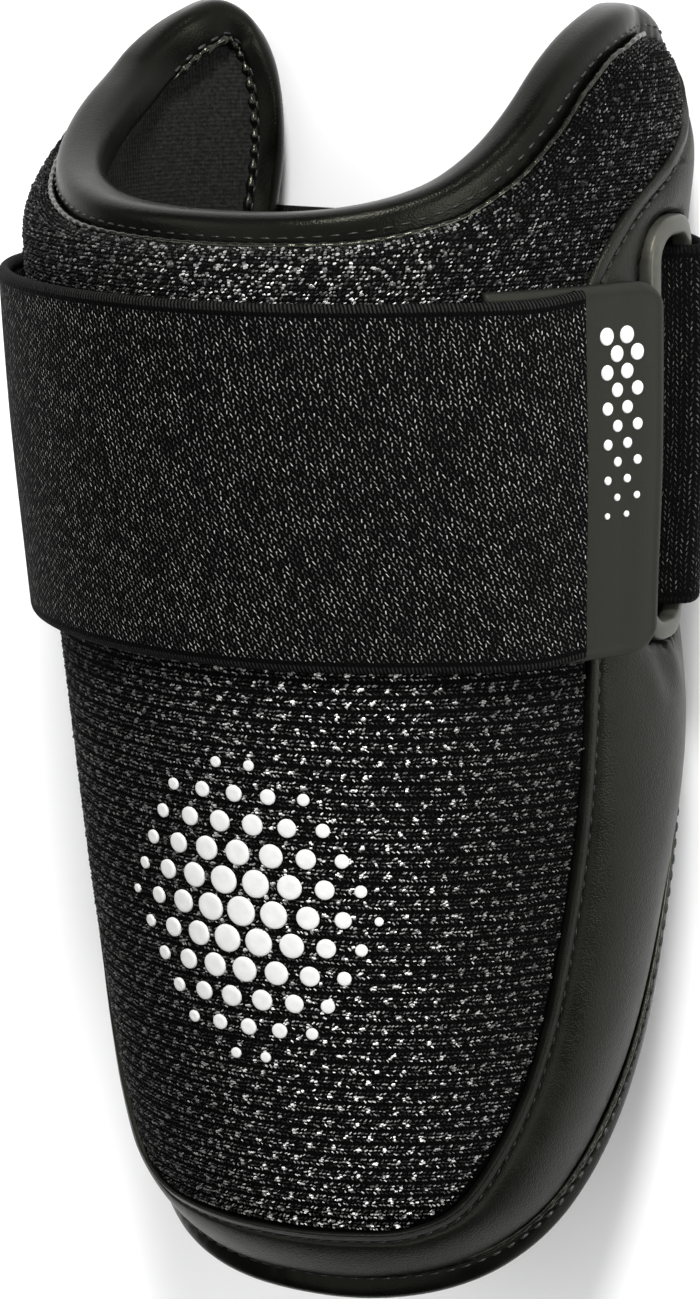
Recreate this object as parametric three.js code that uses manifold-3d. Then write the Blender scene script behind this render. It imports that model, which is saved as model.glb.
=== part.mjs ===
// A padded elbow guard, lying open side down, in millimetres.
// +X is across the arm, +Y runs along the arm to the scooped end and +Z is up, out of the front.
// The shell is worked out in three numbers: phi, the angle round the arm in degrees from the front,
// y, the place along the arm from the toe, and off, the height over the shell's outer face.
import * as THREE from "three";
import Module from "manifold-3d";

// Layers of the wall, as heights over the outer face
const GAP = 0.3;
const LINING_INSIDE = -11.3;
const LINING_OUTSIDE = -6.8;
const PAD_INSIDE = -6.0;
const PAD_OUTSIDE = 0.0;
const WALL_MIDDLE = -5.65;

// The shell's cross-sections: an ellipse in front joined to a shallower one behind
const AXIS_HEIGHT = 38;
// columns: y, left half width, right half width, front height, rear depth
const SECTIONS = [
  [-4, 28.6, 28.4, 24, 32],
  [6, 37.4, 38, 33, 36],
  [22, 45, 46.4, 43, 39],
  [60, 52, 54, 49.5, 42],
  [106, 57.5, 57.6, 54.5, 46.4],
  [128, 59.5, 57.8, 57.5, 41.5],
  [160, 61.5, 58.7, 62.5, 41],
  [184, 62.3, 58.5, 65.2, 41.2],
  [205, 63.2, 57.6, 66, 45],
  [235, 65, 53, 65, 45],
];
// At the scooped end the mesh rounds over to meet the roll
const ROUND_OVER = 5.2;
const ROUND_OVER_REACH = 8;
const MESH_RISE = 1.3;

// The middle line of the roll along the scooped end
// columns: phi, y, half height of the roll
const SCOOP = [
  [-125, 226.6, 3.9],
  [-118, 225.2, 4.1],
  [-110, 222.6, 4.2],
  [-96, 217.4, 4.2],
  [-82, 211.4, 4.2],
  [-66, 204.7, 4.2],
  [-50, 199.9, 4.1],
  [-28, 196.4, 4],
  [0, 195.4, 3.9],
  [26, 195.9, 4],
  [46, 199.4, 4.3],
  [58, 205.3, 4.4],
  [68, 213, 4.3],
  [77, 220.5, 4.3],
  [88, 226, 4.2],
  [104, 228, 4.1],
  [116, 228, 4],
  [125, 227, 3.9],
];
// Half of the border, from the toe up a flap to its back corner; the left half mirrors it
// columns: edge phi, edge y (middle of the rolled edge), seam phi, seam y, puff of the leather
const RIBS = [
  [0, 2.2, 0, 14, 0.8],
  [30, 2.9, 22, 14.4, 0.8],
  [58, 7.5, 36, 15.6, 1.0],
  [78, 18, 47, 21, 1.6],
  [94, 38, 56, 34, 2.4],
  [105, 62, 62, 50, 3.0],
  [114, 83, 66.5, 76, 3.0],
  [127, 98, 69, 106, 2.4],
  [135.5, 113, 70, 128, 1.0],
  [135, 130, 70.3, 148, 0],
  [134.6, 156, 70.8, 166, 0],
  [134.8, 180, 72.4, 184, 0],
  [136, 197, 81, 197.5, 0.8],
  [136.3, 205, 91.5, 205, 1.4],
  [136, 212.5, 104.5, 211.5, 1.6],
  [134.6, 219, 116, 216, 1.4],
  [131.4, 224, 116.6, 222.5, 0.5],
];
const SEAM_GAP = 0.35;
const FLAP_END = 125;

// The rolled edge: a rounded section, flat where it meets the wall
const ROLL_HALF_WIDTH = 6;
const ROLL_HALF_HEIGHT = 3;
const SCOOP_HALF_WIDTH = 4.4;
const SCOOP_MIDDLE = -10.8;
const CORNER_BLEND = 0.5;
const ROLL_STEPS = 96;
const ROLL_SIDES = 10;

// The strap, its tab and the loop it comes through
const STRAP_WIDTH = 63.5;
const STRAP_THICK = 2.2;
const STRAP_LOW_Y = 122;
const STRAP_RISE_AT_LOOP = 5.6;
const TAB_THICK = 1.6;
const TAB_LOW_Y = 121.8;
const TAB_HIGH_Y = 186.8;
const TAB_CORNER = 6;
const TAB_START = 50;
const TAB_END = 84;
const LOOP_FRONT_PHI = 85.2;
const LOOP_HALF_WIDTH = 7.7;
const LOOP_HALF_HEIGHT = 35.6;
const LOOP_CORNER = 6.4;
const LOOP_MIDDLE_Y = STRAP_LOW_Y + STRAP_RISE_AT_LOOP + STRAP_WIDTH / 2;
const LOOP_BAND = 1.8;
const LOOP_INSIDE = -2.5;
const LOOP_OUTSIDE = 1.0;
const WINDOW_GROWTH = 2.6;

const radians = THREE.MathUtils.degToRad;
const { lerp, clamp } = THREE.MathUtils;

// A smooth function through one column of a table, level at its peaks and straight past its ends
function throughTable(rows, column) {
  const xs = rows.map((row) => row[0]);
  const ys = rows.map((row) => row[column]);
  const slope = xs.slice(1).map((x, i) => (ys[i + 1] - ys[i]) / (x - xs[i]));
  const lean = xs.map((_, i) => {
    if (i === 0) return slope[0];
    if (i === xs.length - 1) return slope[i - 1];
    const before = slope[i - 1];
    const after = slope[i];
    return before * after <= 0 ? 0 : (2 * before * after) / (before + after);
  });
  return (x) => {
    if (x <= xs[0]) return ys[0] + lean[0] * (x - xs[0]);
    const last = xs.length - 1;
    if (x >= xs[last]) return ys[last] + lean[last] * (x - xs[last]);
    const i = xs.findIndex((edge, k) => k > 0 && x <= edge) - 1;
    const step = xs[i + 1] - xs[i];
    const t = (x - xs[i]) / step;
    const rise = t * t * (3 - 2 * t);
    const start = lean[i] * step * t * (1 - t) * (1 - t);
    const finish = lean[i + 1] * step * t * t * (t - 1);
    return lerp(ys[i], ys[i + 1], rise) + start + finish;
  };
}

const leftWidthAt = throughTable(SECTIONS, 1);
const rightWidthAt = throughTable(SECTIONS, 2);
const frontHeightAt = throughTable(SECTIONS, 3);
const rearDepthAt = throughTable(SECTIONS, 4);
const scoopAt = throughTable(SCOOP, 1);
const scoopRollAt = throughTable(SCOOP, 2);

// The half width and the height of the ellipse that an angle lies on
function semiAxes(angle, y) {
  return [
    Math.sin(angle) >= 0 ? rightWidthAt(y) : leftWidthAt(y),
    Math.cos(angle) >= 0 ? frontHeightAt(y) : rearDepthAt(y),
  ];
}

// The outward direction across the arm at an angle of one cross-section
function outward(phi, y) {
  const angle = radians(phi);
  const [width, height] = semiAxes(angle, y);
  return new THREE.Vector3(Math.sin(angle) / width, 0, Math.cos(angle) / height).normalize();
}

// A point of the shell in space
function shell(phi, y, off) {
  const angle = radians(phi);
  const [width, height] = semiAxes(angle, y);
  const face = new THREE.Vector3(
    width * Math.sin(angle),
    y,
    AXIS_HEIGHT + height * Math.cos(angle),
  );
  return face.addScaledVector(outward(phi, y), off);
}

// Millimetres round the shell in one degree, halfway through the wall
function degreeLength(phi, y) {
  const step = 0.25;
  const before = shell(phi - step, y, WALL_MIDDLE);
  return before.distanceTo(shell(phi + step, y, WALL_MIDDLE)) / (2 * step);
}

// A closed solid from rings of points, each ring joined to the next
function solidFromRings(rings, closed) {
  const size = rings[0].length;
  const positions = rings.flat().flatMap((point) => point.toArray());
  const faces = [];
  const spans = closed ? rings.length : rings.length - 1;
  for (let i = 0; i < spans; i += 1) {
    const here = i * size;
    const there = ((i + 1) % rings.length) * size;
    for (let j = 0; j < size; j += 1) {
      const k = (j + 1) % size;
      faces.push(here + j, there + j, there + k, here + j, there + k, here + k);
    }
  }
  return outwardGeometry(positions, closed ? faces : faces.concat(caps(rings)));
}

// The two end faces of an open run of rings, each ring being a low row and a high row of points
function caps(rings) {
  const size = rings[0].length;
  const rows = size / 2;
  const last = (rings.length - 1) * size;
  const faces = [];
  for (let j = 0; j < rows - 1; j += 1) {
    const a = j;
    const b = j + 1;
    const c = size - 2 - j;
    const d = size - 1 - j;
    faces.push(a, b, c, a, c, d);
    faces.push(last + a, last + c, last + b, last + a, last + d, last + c);
  }
  return faces;
}

// Geometry whose faces are turned to point out of the solid
function outwardGeometry(positions, faces) {
  const at = (i) => new THREE.Vector3().fromArray(positions, 3 * i);
  let volume = 0;
  for (let i = 0; i < faces.length; i += 3)
    volume += at(faces[i]).dot(at(faces[i + 1]).cross(at(faces[i + 2])));
  if (volume < 0)
    for (let i = 0; i < faces.length; i += 3)
      [faces[i + 1], faces[i + 2]] = [faces[i + 2], faces[i + 1]];
  const geometry = new THREE.BufferGeometry();
  geometry.setAttribute("position", new THREE.Float32BufferAttribute(positions, 3));
  geometry.setIndex(faces);
  return geometry;
}

// A padded layer between two lines on the shell: columns run from the low line to the high line,
// and the inner and outer heights are functions of the angle, the place and the way across
function layer(columns, rowsOf, inner, outer) {
  const rings = columns.map(({ low, high }, column) => {
    const face = (height) =>
      rowsOf(low, high).map((t) => {
        const phi = lerp(low[0], high[0], t);
        const y = lerp(low[1], high[1], t);
        return shell(phi, y, height(phi, y, t, column));
      });
    return [...face(outer), ...face(inner).reverse()];
  });
  return solidFromRings(rings, false);
}

// The rolled edge's middle line round the whole shell, as a closed curve of phi and y,
// with the roll's half height and the height of its middle at each point
// columns: phi, y, half height, middle, half width
const rightEdge = RIBS.map(([phi, y]) => [phi, y, ROLL_HALF_HEIGHT, WALL_MIDDLE, ROLL_HALF_WIDTH]);
const leftEdge = rightEdge.slice(1).map(([phi, ...rest]) => [-phi, ...rest]);
const scoopEdge = SCOOP.map((row, i) => {
  const settled = Math.min(1, CORNER_BLEND + Math.min(i, SCOOP.length - 1 - i));
  const middle = lerp(WALL_MIDDLE, SCOOP_MIDDLE, settled);
  return [...row, middle, lerp(ROLL_HALF_WIDTH, SCOOP_HALF_WIDTH, settled)];
});
const edgePoints = [...rightEdge, ...scoopEdge.reverse(), ...leftEdge.reverse()];
const EDGE_COUNT = edgePoints.length;
const FLAT_DEGREE = 0.9;
const edgeCurve = new THREE.CatmullRomCurve3(
  edgePoints.map(([phi, y]) => new THREE.Vector3(phi * FLAT_DEGREE, y, 0)),
  true,
  "centripetal",
);
const edgeValue = (number, column) => {
  const i = Math.floor(number) % EDGE_COUNT;
  const next = (i + 1) % EDGE_COUNT;
  return lerp(edgePoints[i][column], edgePoints[next][column], number - Math.floor(number));
};

// A place on that line, by its number in the list of points, moved into the wall by some millimetres
function edgePlace(number, inset) {
  const share = (((number / EDGE_COUNT) % 1) + 1) % 1;
  const here = edgeCurve.getPoint(share);
  const along = edgeCurve.getTangent(share);
  const phi = here.x / FLAT_DEGREE;
  const length = degreeLength(phi, here.y);
  const way = new THREE.Vector2((along.x / FLAT_DEGREE) * length, along.y).normalize();
  return [phi - (way.y * inset) / length, here.y + way.x * inset];
}

// The seam between the mesh and the leather, as a curve of phi and y from left to right
const rightSeam = RIBS.map(([, , phi, y]) => new THREE.Vector3(phi * FLAT_DEGREE, y, 0));
const leftSeam = rightSeam.slice(1).map(({ x, y }) => new THREE.Vector3(-x, y, 0));
const seamCurve = new THREE.CatmullRomCurve3(
  [...leftSeam.reverse(), ...rightSeam],
  false,
  "centripetal",
);
const SEAM_COUNT = 2 * (RIBS.length - 1);

// A place on the seam, by rib number from the toe, negative on the left, moved toward the leather
function seamPlace(rib, shift) {
  const share = clamp((rib + RIBS.length - 1) / SEAM_COUNT, 0, 1);
  const here = seamCurve.getPoint(share);
  const along = seamCurve.getTangent(share);
  const phi = here.x / FLAT_DEGREE;
  const length = degreeLength(phi, here.y);
  const way = new THREE.Vector2((along.x / FLAT_DEGREE) * length, along.y).normalize();
  return [phi + (way.y * shift) / length, here.y - way.x * shift];
}

// Where the wall stops below the scooped end's roll, at an angle round the arm
function scoopEnd(phi) {
  const step = 0.5;
  const rise = (scoopAt(phi + step) - scoopAt(phi - step)) / (2 * step);
  const slope = rise / degreeLength(phi, scoopAt(phi));
  return scoopAt(phi) - (scoopRollAt(phi) - 1) * Math.hypot(1, slope);
}

const meshEnd = (phi) => scoopEnd(phi) + MESH_RISE;

const evenly = (count, from, to) =>
  Array.from({ length: count + 1 }, (_, i) => lerp(from, to, i / count));
const LAST_RIB = RIBS.length - 1;
const MESH_RIB = LAST_RIB - 1;
const SEAM_STEPS = 50;
const WALL_INSET = ROLL_HALF_HEIGHT - 1;
const MESH_REACH = 115.6;

// Rows of the wall as shares of a column's length, close together at the toe and where it
// rounds over at the top
const LOW_ROWS = [0, 0.04, 0.09, 0.16, 0.27, 0.43, 0.62, 0.82];
const TOP_ROWS = [14, 8, 4.5, 1.8, 0];
function wallRows(low, high) {
  const length = high[1] - low[1];
  const squeeze = Math.min(1, length / (2 * TOP_ROWS[0]));
  const top = TOP_ROWS.map((below) => 1 - (below * squeeze) / length);
  return [...LOW_ROWS.map((share) => share * top[0]), ...top];
}

// The mesh panel hangs from the scooped end down to the seam
function meshPanel() {
  const columns = evenly(SEAM_STEPS, -MESH_RIB, MESH_RIB).map((rib) => {
    const share = rib / MESH_RIB;
    const phi = MESH_REACH * Math.sign(share) * Math.abs(share) ** 1.25;
    return { low: seamPlace(rib, -SEAM_GAP / 2), high: [phi, meshEnd(phi)] };
  });
  const rounded = (phi, y) => {
    const below = clamp((meshEnd(phi) - y) / ROUND_OVER_REACH, 0, 1);
    return PAD_OUTSIDE - ROUND_OVER * (1 - Math.sqrt(1 - (1 - below) ** 2));
  };
  return layer(columns, wallRows, () => PAD_INSIDE, rounded);
}

// The leather border fills the strip between the seam and the rolled edge
function leatherBorder() {
  const puffAt = throughTable(RIBS.map((rib, i) => [i, rib[4]]), 1);
  const ribs = [-LAST_RIB, ...evenly(SEAM_STEPS, -MESH_RIB, MESH_RIB), LAST_RIB];
  const columns = ribs.map((rib) => ({
    low: edgePlace(rib, WALL_INSET),
    high: seamPlace(rib, SEAM_GAP / 2),
  }));
  const puffed = (phi, y, t, column) => {
    const arch = 4 * t * (1 - t);
    return PAD_OUTSIDE + arch * puffAt(Math.abs(ribs[column]));
  };
  const strip = layer(columns, () => evenly(5, 0, 1), () => PAD_INSIDE, puffed);
  return subtract(subtract(strip, windowCutter()), edgeBinding(GAP));
}

// The lining covers the whole inside, from one rolled edge to the other
function lining() {
  const columns = evenly(32, -1, 1).map((share) => {
    const phi = FLAP_END * Math.sign(share) * Math.abs(share) ** 1.1;
    return { low: edgePlace(LAST_RIB * share, WALL_INSET), high: [phi, scoopEnd(phi)] };
  });
  const whole = layer(columns, wallRows, () => LINING_INSIDE, () => LINING_OUTSIDE);
  return subtract(whole, edgeBinding(GAP));
}

// The rolled edge: a rounded section carried round the middle line, grown by some millimetres
function edgeBinding(growth) {
  const at = (number) => {
    const [phi, y] = edgePlace(number, 0);
    return shell(phi, y, edgeValue((number + EDGE_COUNT) % EDGE_COUNT, 3));
  };
  const rings = evenly(ROLL_STEPS, 0, EDGE_COUNT).slice(0, -1).map((number) => {
    const [phi, y] = edgePlace(number, 0);
    const along = at(number + 0.02).sub(at(number - 0.02)).normalize();
    const inward = new THREE.Vector3().crossVectors(outward(phi, y), along).normalize();
    const face = new THREE.Vector3().crossVectors(along, inward).normalize();
    return evenly(ROLL_SIDES, 0, 2 * Math.PI).slice(0, -1).map((turn) => {
      const halfWidth = edgeValue(number, 4) + growth;
      const halfHeight = edgeValue(number, 2) + growth;
      const [wide, high] = rollSection(turn, halfWidth, halfHeight);
      return at(number).addScaledVector(face, wide).addScaledVector(inward, high);
    });
  });
  return solidFromRings(rings, true);
}

// The rolled edge's section: square on the side of the wall, round on the other
function rollSection(turn, halfWidth, halfHeight) {
  const shape = (value, power) => Math.sign(value) * Math.abs(value) ** power;
  const power = Math.sin(turn) > 0 ? 0.4 : 0.8;
  return [
    halfWidth * shape(Math.cos(turn), power),
    halfHeight * shape(Math.sin(turn), power),
  ];
}

// Millimetres round the outer face at the loop, listed for small steps of the angle
const GIRTH_START = 60;
const GIRTH_END = 140;
const GIRTH_STEP = 0.5;
const girth = [0];
for (let phi = GIRTH_START; phi < GIRTH_END; phi += GIRTH_STEP) {
  const here = shell(phi, LOOP_MIDDLE_Y, 0);
  girth.push(girth.at(-1) + here.distanceTo(shell(phi + GIRTH_STEP, LOOP_MIDDLE_Y, 0)));
}
function girthAt(phi) {
  const place = (phi - GIRTH_START) / GIRTH_STEP;
  const i = Math.floor(place);
  return lerp(girth[i], girth[i + 1], place - i);
}
const LOOP_GIRTH = girthAt(LOOP_FRONT_PHI) + LOOP_HALF_WIDTH;

// The angle that lies some millimetres round from the loop's middle
function phiFromLoop(across) {
  const wanted = LOOP_GIRTH + across;
  const i = girth.findIndex((length) => length > wanted) - 1;
  const share = (wanted - girth[i]) / (girth[i + 1] - girth[i]);
  return GIRTH_START + GIRTH_STEP * (i + share);
}

// The loop's outline: a tall frame with round corners, grown by some millimetres
function loopOutline(growth) {
  const wide = LOOP_HALF_WIDTH - LOOP_CORNER;
  const tall = LOOP_HALF_HEIGHT - LOOP_CORNER;
  const round = LOOP_CORNER + growth;
  const corner = (x, y, start) =>
    evenly(5, start, start + 90).map((turn) => {
      const angle = radians(turn);
      return [x + round * Math.cos(angle), y + round * Math.sin(angle)];
    });
  const side = (x, from, to) =>
    evenly(5, from, to)
      .slice(1, -1)
      .map((y) => [x, y]);
  return [
    ...corner(wide, tall, 0),
    ...corner(-wide, tall, 90),
    ...side(-wide - round, tall, -tall),
    ...corner(-wide, -tall, 180),
    ...corner(wide, -tall, 270),
    ...side(wide + round, -tall, tall),
  ];
}

// The loop: a flat band with broken edges carried round that outline
function slotFrame() {
  const bevel = 0.6;
  const section = [
    [-LOOP_BAND, LOOP_INSIDE + bevel],
    [-LOOP_BAND + bevel, LOOP_INSIDE],
    [LOOP_BAND - bevel, LOOP_INSIDE],
    [LOOP_BAND, LOOP_INSIDE + bevel],
    [LOOP_BAND, LOOP_OUTSIDE - bevel],
    [LOOP_BAND - bevel, LOOP_OUTSIDE],
    [-LOOP_BAND + bevel, LOOP_OUTSIDE],
    [-LOOP_BAND, LOOP_OUTSIDE - bevel],
  ];
  const outlines = section.map(([growth]) => loopOutline(growth));
  const rings = outlines[0].map((_, i) =>
    section.map(([, off], j) => {
      const [across, up] = outlines[j][i];
      return shell(phiFromLoop(across), LOOP_MIDDLE_Y + up, off);
    }),
  );
  return solidFromRings(rings, true);
}

// The cutter for the window that the loop sits in
function windowCutter() {
  const depths = evenly(4, PAD_INSIDE - 4, 7);
  const outline = loopOutline(WINDOW_GROWTH);
  const middle = outline.map(([across, up]) => [across * 0.02, up * 0.8]);
  const wrapped = (points, off) =>
    points.map(([across, up]) => shell(phiFromLoop(across), LOOP_MIDDLE_Y + up, off));
  const rings = depths.map((off) => wrapped(outline, off));
  const low = wrapped(middle, depths[0]);
  const high = wrapped(middle, depths.at(-1));
  return solidFromRings([low, ...rings, high], false);
}

// One solid less another, without the crumbs and needless slivers along the cut
const CUT_TOLERANCE = 0.05;
const wasm = await Module();
wasm.setup();
function manifoldOf(geometry) {
  return new wasm.Manifold(
    new wasm.Mesh({
      numProp: 3,
      vertProperties: new Float32Array(geometry.attributes.position.array),
      triVerts: new Uint32Array(geometry.index.array),
    }),
  );
}
function subtract(body, cutter) {
  const cut = manifoldOf(body).subtract(manifoldOf(cutter)).simplify(CUT_TOLERANCE);
  const largest = cut.decompose().sort((a, b) => b.volume() - a.volume())[0];
  const mesh = largest.getMesh();
  const geometry = new THREE.BufferGeometry();
  geometry.setAttribute("position", new THREE.Float32BufferAttribute(mesh.vertProperties, 3));
  geometry.setIndex(Array.from(mesh.triVerts));
  return geometry;
}

// The strap's way round the guard, from the pocket behind the loop to its free end
// columns: millimetres from the loop's middle, height of the strap's middle
const STRAP_AT_LOOP = [
  [-4.5, -4.3],
  [-1, -4.2],
  [1.4, -3.2],
  [2.9, -1.2],
  [3.7, 0.7],
  [4.6, 2.2],
  [6.4, 2.9],
  [9, 2.8],
];
// columns: phi, height of the strap's middle
const STRAP_ON_RIGHT_FLAP = [
  [116, 2.1],
  [126, 1.9],
  [134, 1.9],
];
const STRAP_ON_LEFT = [
  [-134, 1.9],
  [-125, 2.2],
  [-112, 3.2],
  [-98, 4.2],
  [-82, 4.6],
  [-66, 4.2],
  [-50, 3.2],
  [-34, 2.2],
  [-18, 1.7],
  [0, 1.65],
  [16, 1.65],
  [32, 1.65],
  [40, 1.8],
  [46, 2.7],
  [50, 3.4],
  [57, 3.6],
  [65.5, 3.75],
];
// Between the flaps the strap is flat, at this height
const STRAP_FLAT_Z = 5.8;
const STRAP_FLAT_SHARES = [0.045, 0.2, 0.5, 0.8, 0.955];

// Behind the arm the strap lies a little higher than in front: the angles where it starts to
// rise and where it has risen
const RISE_ON_RIGHT = [60, 90];
const RISE_ON_LEFT = [90, 130];
function riseBehind(phi) {
  const [from, to] = phi > 0 ? RISE_ON_RIGHT : RISE_ON_LEFT;
  return STRAP_RISE_AT_LOOP * clamp((Math.abs(phi) - from) / (to - from), 0, 1);
}

// The strap's middle line at one place across its width
function strapLine(share) {
  const low = STRAP_LOW_Y + STRAP_WIDTH * share;
  const atLoop = STRAP_AT_LOOP.map(([across, off]) => [phiFromLoop(across), off]);
  const place = ([phi, off]) => shell(phi, low + riseBehind(phi), off);
  const right = [...atLoop, ...STRAP_ON_RIGHT_FLAP].map(place);
  const left = STRAP_ON_LEFT.map(place);
  const flat = STRAP_FLAT_SHARES.map((t) =>
    right.at(-1).clone().lerp(left[0], t).setZ(STRAP_FLAT_Z),
  );
  return new THREE.CatmullRomCurve3([...right, ...flat, ...left], false, "centripetal");
}

// The strap: a flat band of even thickness along that line, nowhere lower than its flat run
function elasticStrap() {
  const steps = 68;
  const lines = evenly(3, 0, 1).map(strapLine);
  const across = new THREE.Vector3(0, 1, 0);
  const at = (line, share) => {
    const point = line.getPoint(clamp(share, 0, 1));
    return point.setZ(Math.max(point.z, STRAP_FLAT_Z));
  };
  const rings = evenly(steps, 0, 1).map((share) => {
    const face = (side) =>
      lines.map((line) => {
        const along = at(line, share + 0.002).sub(at(line, share - 0.002));
        const out = new THREE.Vector3().crossVectors(across, along).normalize();
        return at(line, share).addScaledVector(out, (side * STRAP_THICK) / 2);
      });
    return [...face(1), ...face(-1).reverse()];
  });
  return solidFromRings(rings, false);
}

// The tab: thin rubber from under the strap's end to the loop, with two round corners
// columns: phi, height of its under face
const TAB_UNDER = [
  [50, 0.35],
  [66, 0.5],
  [74, 0.7],
  [80, 1.5],
  [84, 1.8],
];
function pullTab() {
  const under = throughTable(TAB_UNDER, 1);
  const middleY = (TAB_LOW_Y + TAB_HIGH_Y) / 2;
  const cornerDegrees = TAB_CORNER / degreeLength(TAB_END, middleY);
  const straight = evenly(12, TAB_START, TAB_END - cornerDegrees).map((phi) => [phi, 0]);
  const corner = evenly(6, 0, 90).slice(1).map((turn) => {
    const angle = radians(turn);
    const drop = TAB_CORNER * (1 - Math.cos(angle));
    return [TAB_END - cornerDegrees * (1 - Math.sin(angle)), drop];
  });
  const columns = [...straight, ...corner].map(([phi, drop]) => ({
    low: [phi, TAB_LOW_Y + drop],
    high: [phi, TAB_HIGH_Y - drop],
  }));
  return layer(columns, () => evenly(3, 0, 1), (phi) => under(phi), (phi) => under(phi) + TAB_THICK);
}

// Finishes: colour, roughness
const MESH_BLACK = [0x17181a, 0.62];
const LEATHER_BLACK = [0x232322, 0.5];
const LINING_CHARCOAL = [0x2b2c2d, 0.9];
const STRAP_BLACK = [0x1a1a1a, 0.85];
const RUBBER_GREY = [0x383835, 0.6];
const PLASTIC_GREY = [0x3a3a37, 0.45];

const pieces = [
  ["lining", lining(), LINING_CHARCOAL],
  ["mesh_panel", meshPanel(), MESH_BLACK],
  ["leather_border", leatherBorder(), LEATHER_BLACK],
  ["edge_binding", edgeBinding(0), LEATHER_BLACK],
  ["slot_frame", slotFrame(), PLASTIC_GREY],
  ["elastic_strap", elasticStrap(), STRAP_BLACK],
  ["pull_tab", pullTab(), RUBBER_GREY],
];

// The part's frame has its origin under the middle of the guard, on the floor
const guard = new THREE.Group();
guard.name = "elbow_guard";
const box = new THREE.Box3();
pieces.forEach(([, geometry]) => {
  geometry.computeBoundingBox();
  box.union(geometry.boundingBox);
});
const middle = box.getCenter(new THREE.Vector3());
pieces.forEach(([name, geometry, [color, roughness]]) => {
  geometry.translate(-middle.x, -middle.y, -box.min.z);
  geometry.computeVertexNormals();
  const material = new THREE.MeshStandardMaterial({ color, roughness, metalness: 0 });
  const mesh = new THREE.Mesh(geometry, material);
  mesh.name = name;
  guard.add(mesh);
});

export default guard;
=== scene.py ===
import bpy
import numpy as np
from mathutils import Matrix, Vector


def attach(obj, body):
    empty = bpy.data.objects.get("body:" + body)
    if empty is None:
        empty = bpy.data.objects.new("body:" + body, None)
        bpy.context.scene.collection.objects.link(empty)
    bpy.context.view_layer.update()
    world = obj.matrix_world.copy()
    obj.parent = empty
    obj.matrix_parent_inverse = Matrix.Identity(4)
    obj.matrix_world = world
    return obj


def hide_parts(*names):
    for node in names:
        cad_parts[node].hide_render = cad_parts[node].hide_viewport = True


# The looks of a padded elbow guard. Sizes are in millimetres and angles in degrees until a point
# is placed. The shell is worked out in three numbers: phi, the angle round the arm from the front,
# y, the place along the arm from the toe, and off, the height over the shell's outer face.
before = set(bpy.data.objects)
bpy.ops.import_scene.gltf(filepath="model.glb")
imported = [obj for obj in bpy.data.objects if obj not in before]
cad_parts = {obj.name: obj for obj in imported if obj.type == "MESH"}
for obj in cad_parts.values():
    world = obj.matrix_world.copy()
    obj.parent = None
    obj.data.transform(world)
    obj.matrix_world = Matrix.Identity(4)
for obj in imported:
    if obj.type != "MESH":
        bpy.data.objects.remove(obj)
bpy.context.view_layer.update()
dice = np.random.default_rng(7)

# The shell's own origin in the part's frame
FRAME_SHIFT = np.array([-3.0213, 115.696, 4.7])

# Layers of the wall, as heights over the outer face
LINING_INSIDE = -11.3
LINING_OUTSIDE = -6.8
PAD_INSIDE = -6.0
WALL_MIDDLE = -5.65
AXIS_HEIGHT = 38.0
# columns: y, left half width, right half width, front height, rear depth
SECTIONS = np.array([
    [-4, 28.6, 28.4, 24, 32],
    [6, 37.4, 38, 33, 36],
    [22, 45, 46.4, 43, 39],
    [60, 52, 54, 49.5, 42],
    [106, 57.5, 57.6, 54.5, 46.4],
    [128, 59.5, 57.8, 57.5, 41.5],
    [160, 61.5, 58.7, 62.5, 41],
    [184, 62.3, 58.5, 65.2, 41.2],
    [205, 63.2, 57.6, 66, 45],
    [235, 65, 53, 65, 45],
])
ROUND_OVER = 5.2
ROUND_OVER_REACH = 8.0
MESH_RISE = 1.3
MESH_REACH = 115.6
# columns: phi, y, half height of the roll along the scooped end
SCOOP = np.array([
    [-125, 226.6, 3.9],
    [-118, 225.2, 4.1],
    [-110, 222.6, 4.2],
    [-96, 217.4, 4.2],
    [-82, 211.4, 4.2],
    [-66, 204.7, 4.2],
    [-50, 199.9, 4.1],
    [-28, 196.4, 4],
    [0, 195.4, 3.9],
    [26, 195.9, 4],
    [46, 199.4, 4.3],
    [58, 205.3, 4.4],
    [68, 213, 4.3],
    [77, 220.5, 4.3],
    [88, 226, 4.2],
    [104, 228, 4.1],
    [116, 228, 4],
    [125, 227, 3.9],
])
# columns: edge phi, edge y, seam phi, seam y, puff of the leather, width of its folded strip
RIBS = np.array([
    [0, 2.2, 0, 16.2, 0.8, 1.9],
    [30, 2.9, 22, 16.5, 0.8, 1.9],
    [58, 7.5, 36, 17.6, 1.0, 1.9],
    [78, 18, 47, 22, 1.6, 1.9],
    [94, 38, 56, 34, 2.4, 1.9],
    [105, 62, 62, 50, 3.0, 1.8],
    [114, 83, 66.5, 76, 3.0, 1.8],
    [127, 98, 69, 106, 2.4, 1.8],
    [135.5, 113, 70, 128, 1.0, 1.9],
    [135, 130, 70.3, 148, 0, 2.0],
    [134.6, 156, 69, 166, 0, 2.2],
    [134.8, 180, 68, 184, 0, 2.6],
    [136, 197, 77.5, 197.5, 0.8, 2.6],
    [136.3, 205, 90.5, 206, 1.4, 2.6],
    [136, 212.5, 104.5, 211.5, 1.6, 2.4],
    [134.6, 219, 116, 216, 1.4, 2.4],
    [131.4, 224, 116.6, 222.5, 0.5, 1.8],
])
LAST_RIB = len(RIBS) - 1
MESH_RIB = LAST_RIB - 1
SEAM_GAP = 0.35
FLAP_END = 125.0
ROLL_HALF_WIDTH = 6.0
ROLL_HALF_HEIGHT = 3.0
SCOOP_HALF_WIDTH = 4.4
SCOOP_MIDDLE = -10.8
CORNER_BLEND = 0.5
# How far the wall reaches into the roll
ROLL_OVERLAP = 1.0
WALL_INSET = ROLL_HALF_HEIGHT - ROLL_OVERLAP

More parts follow.
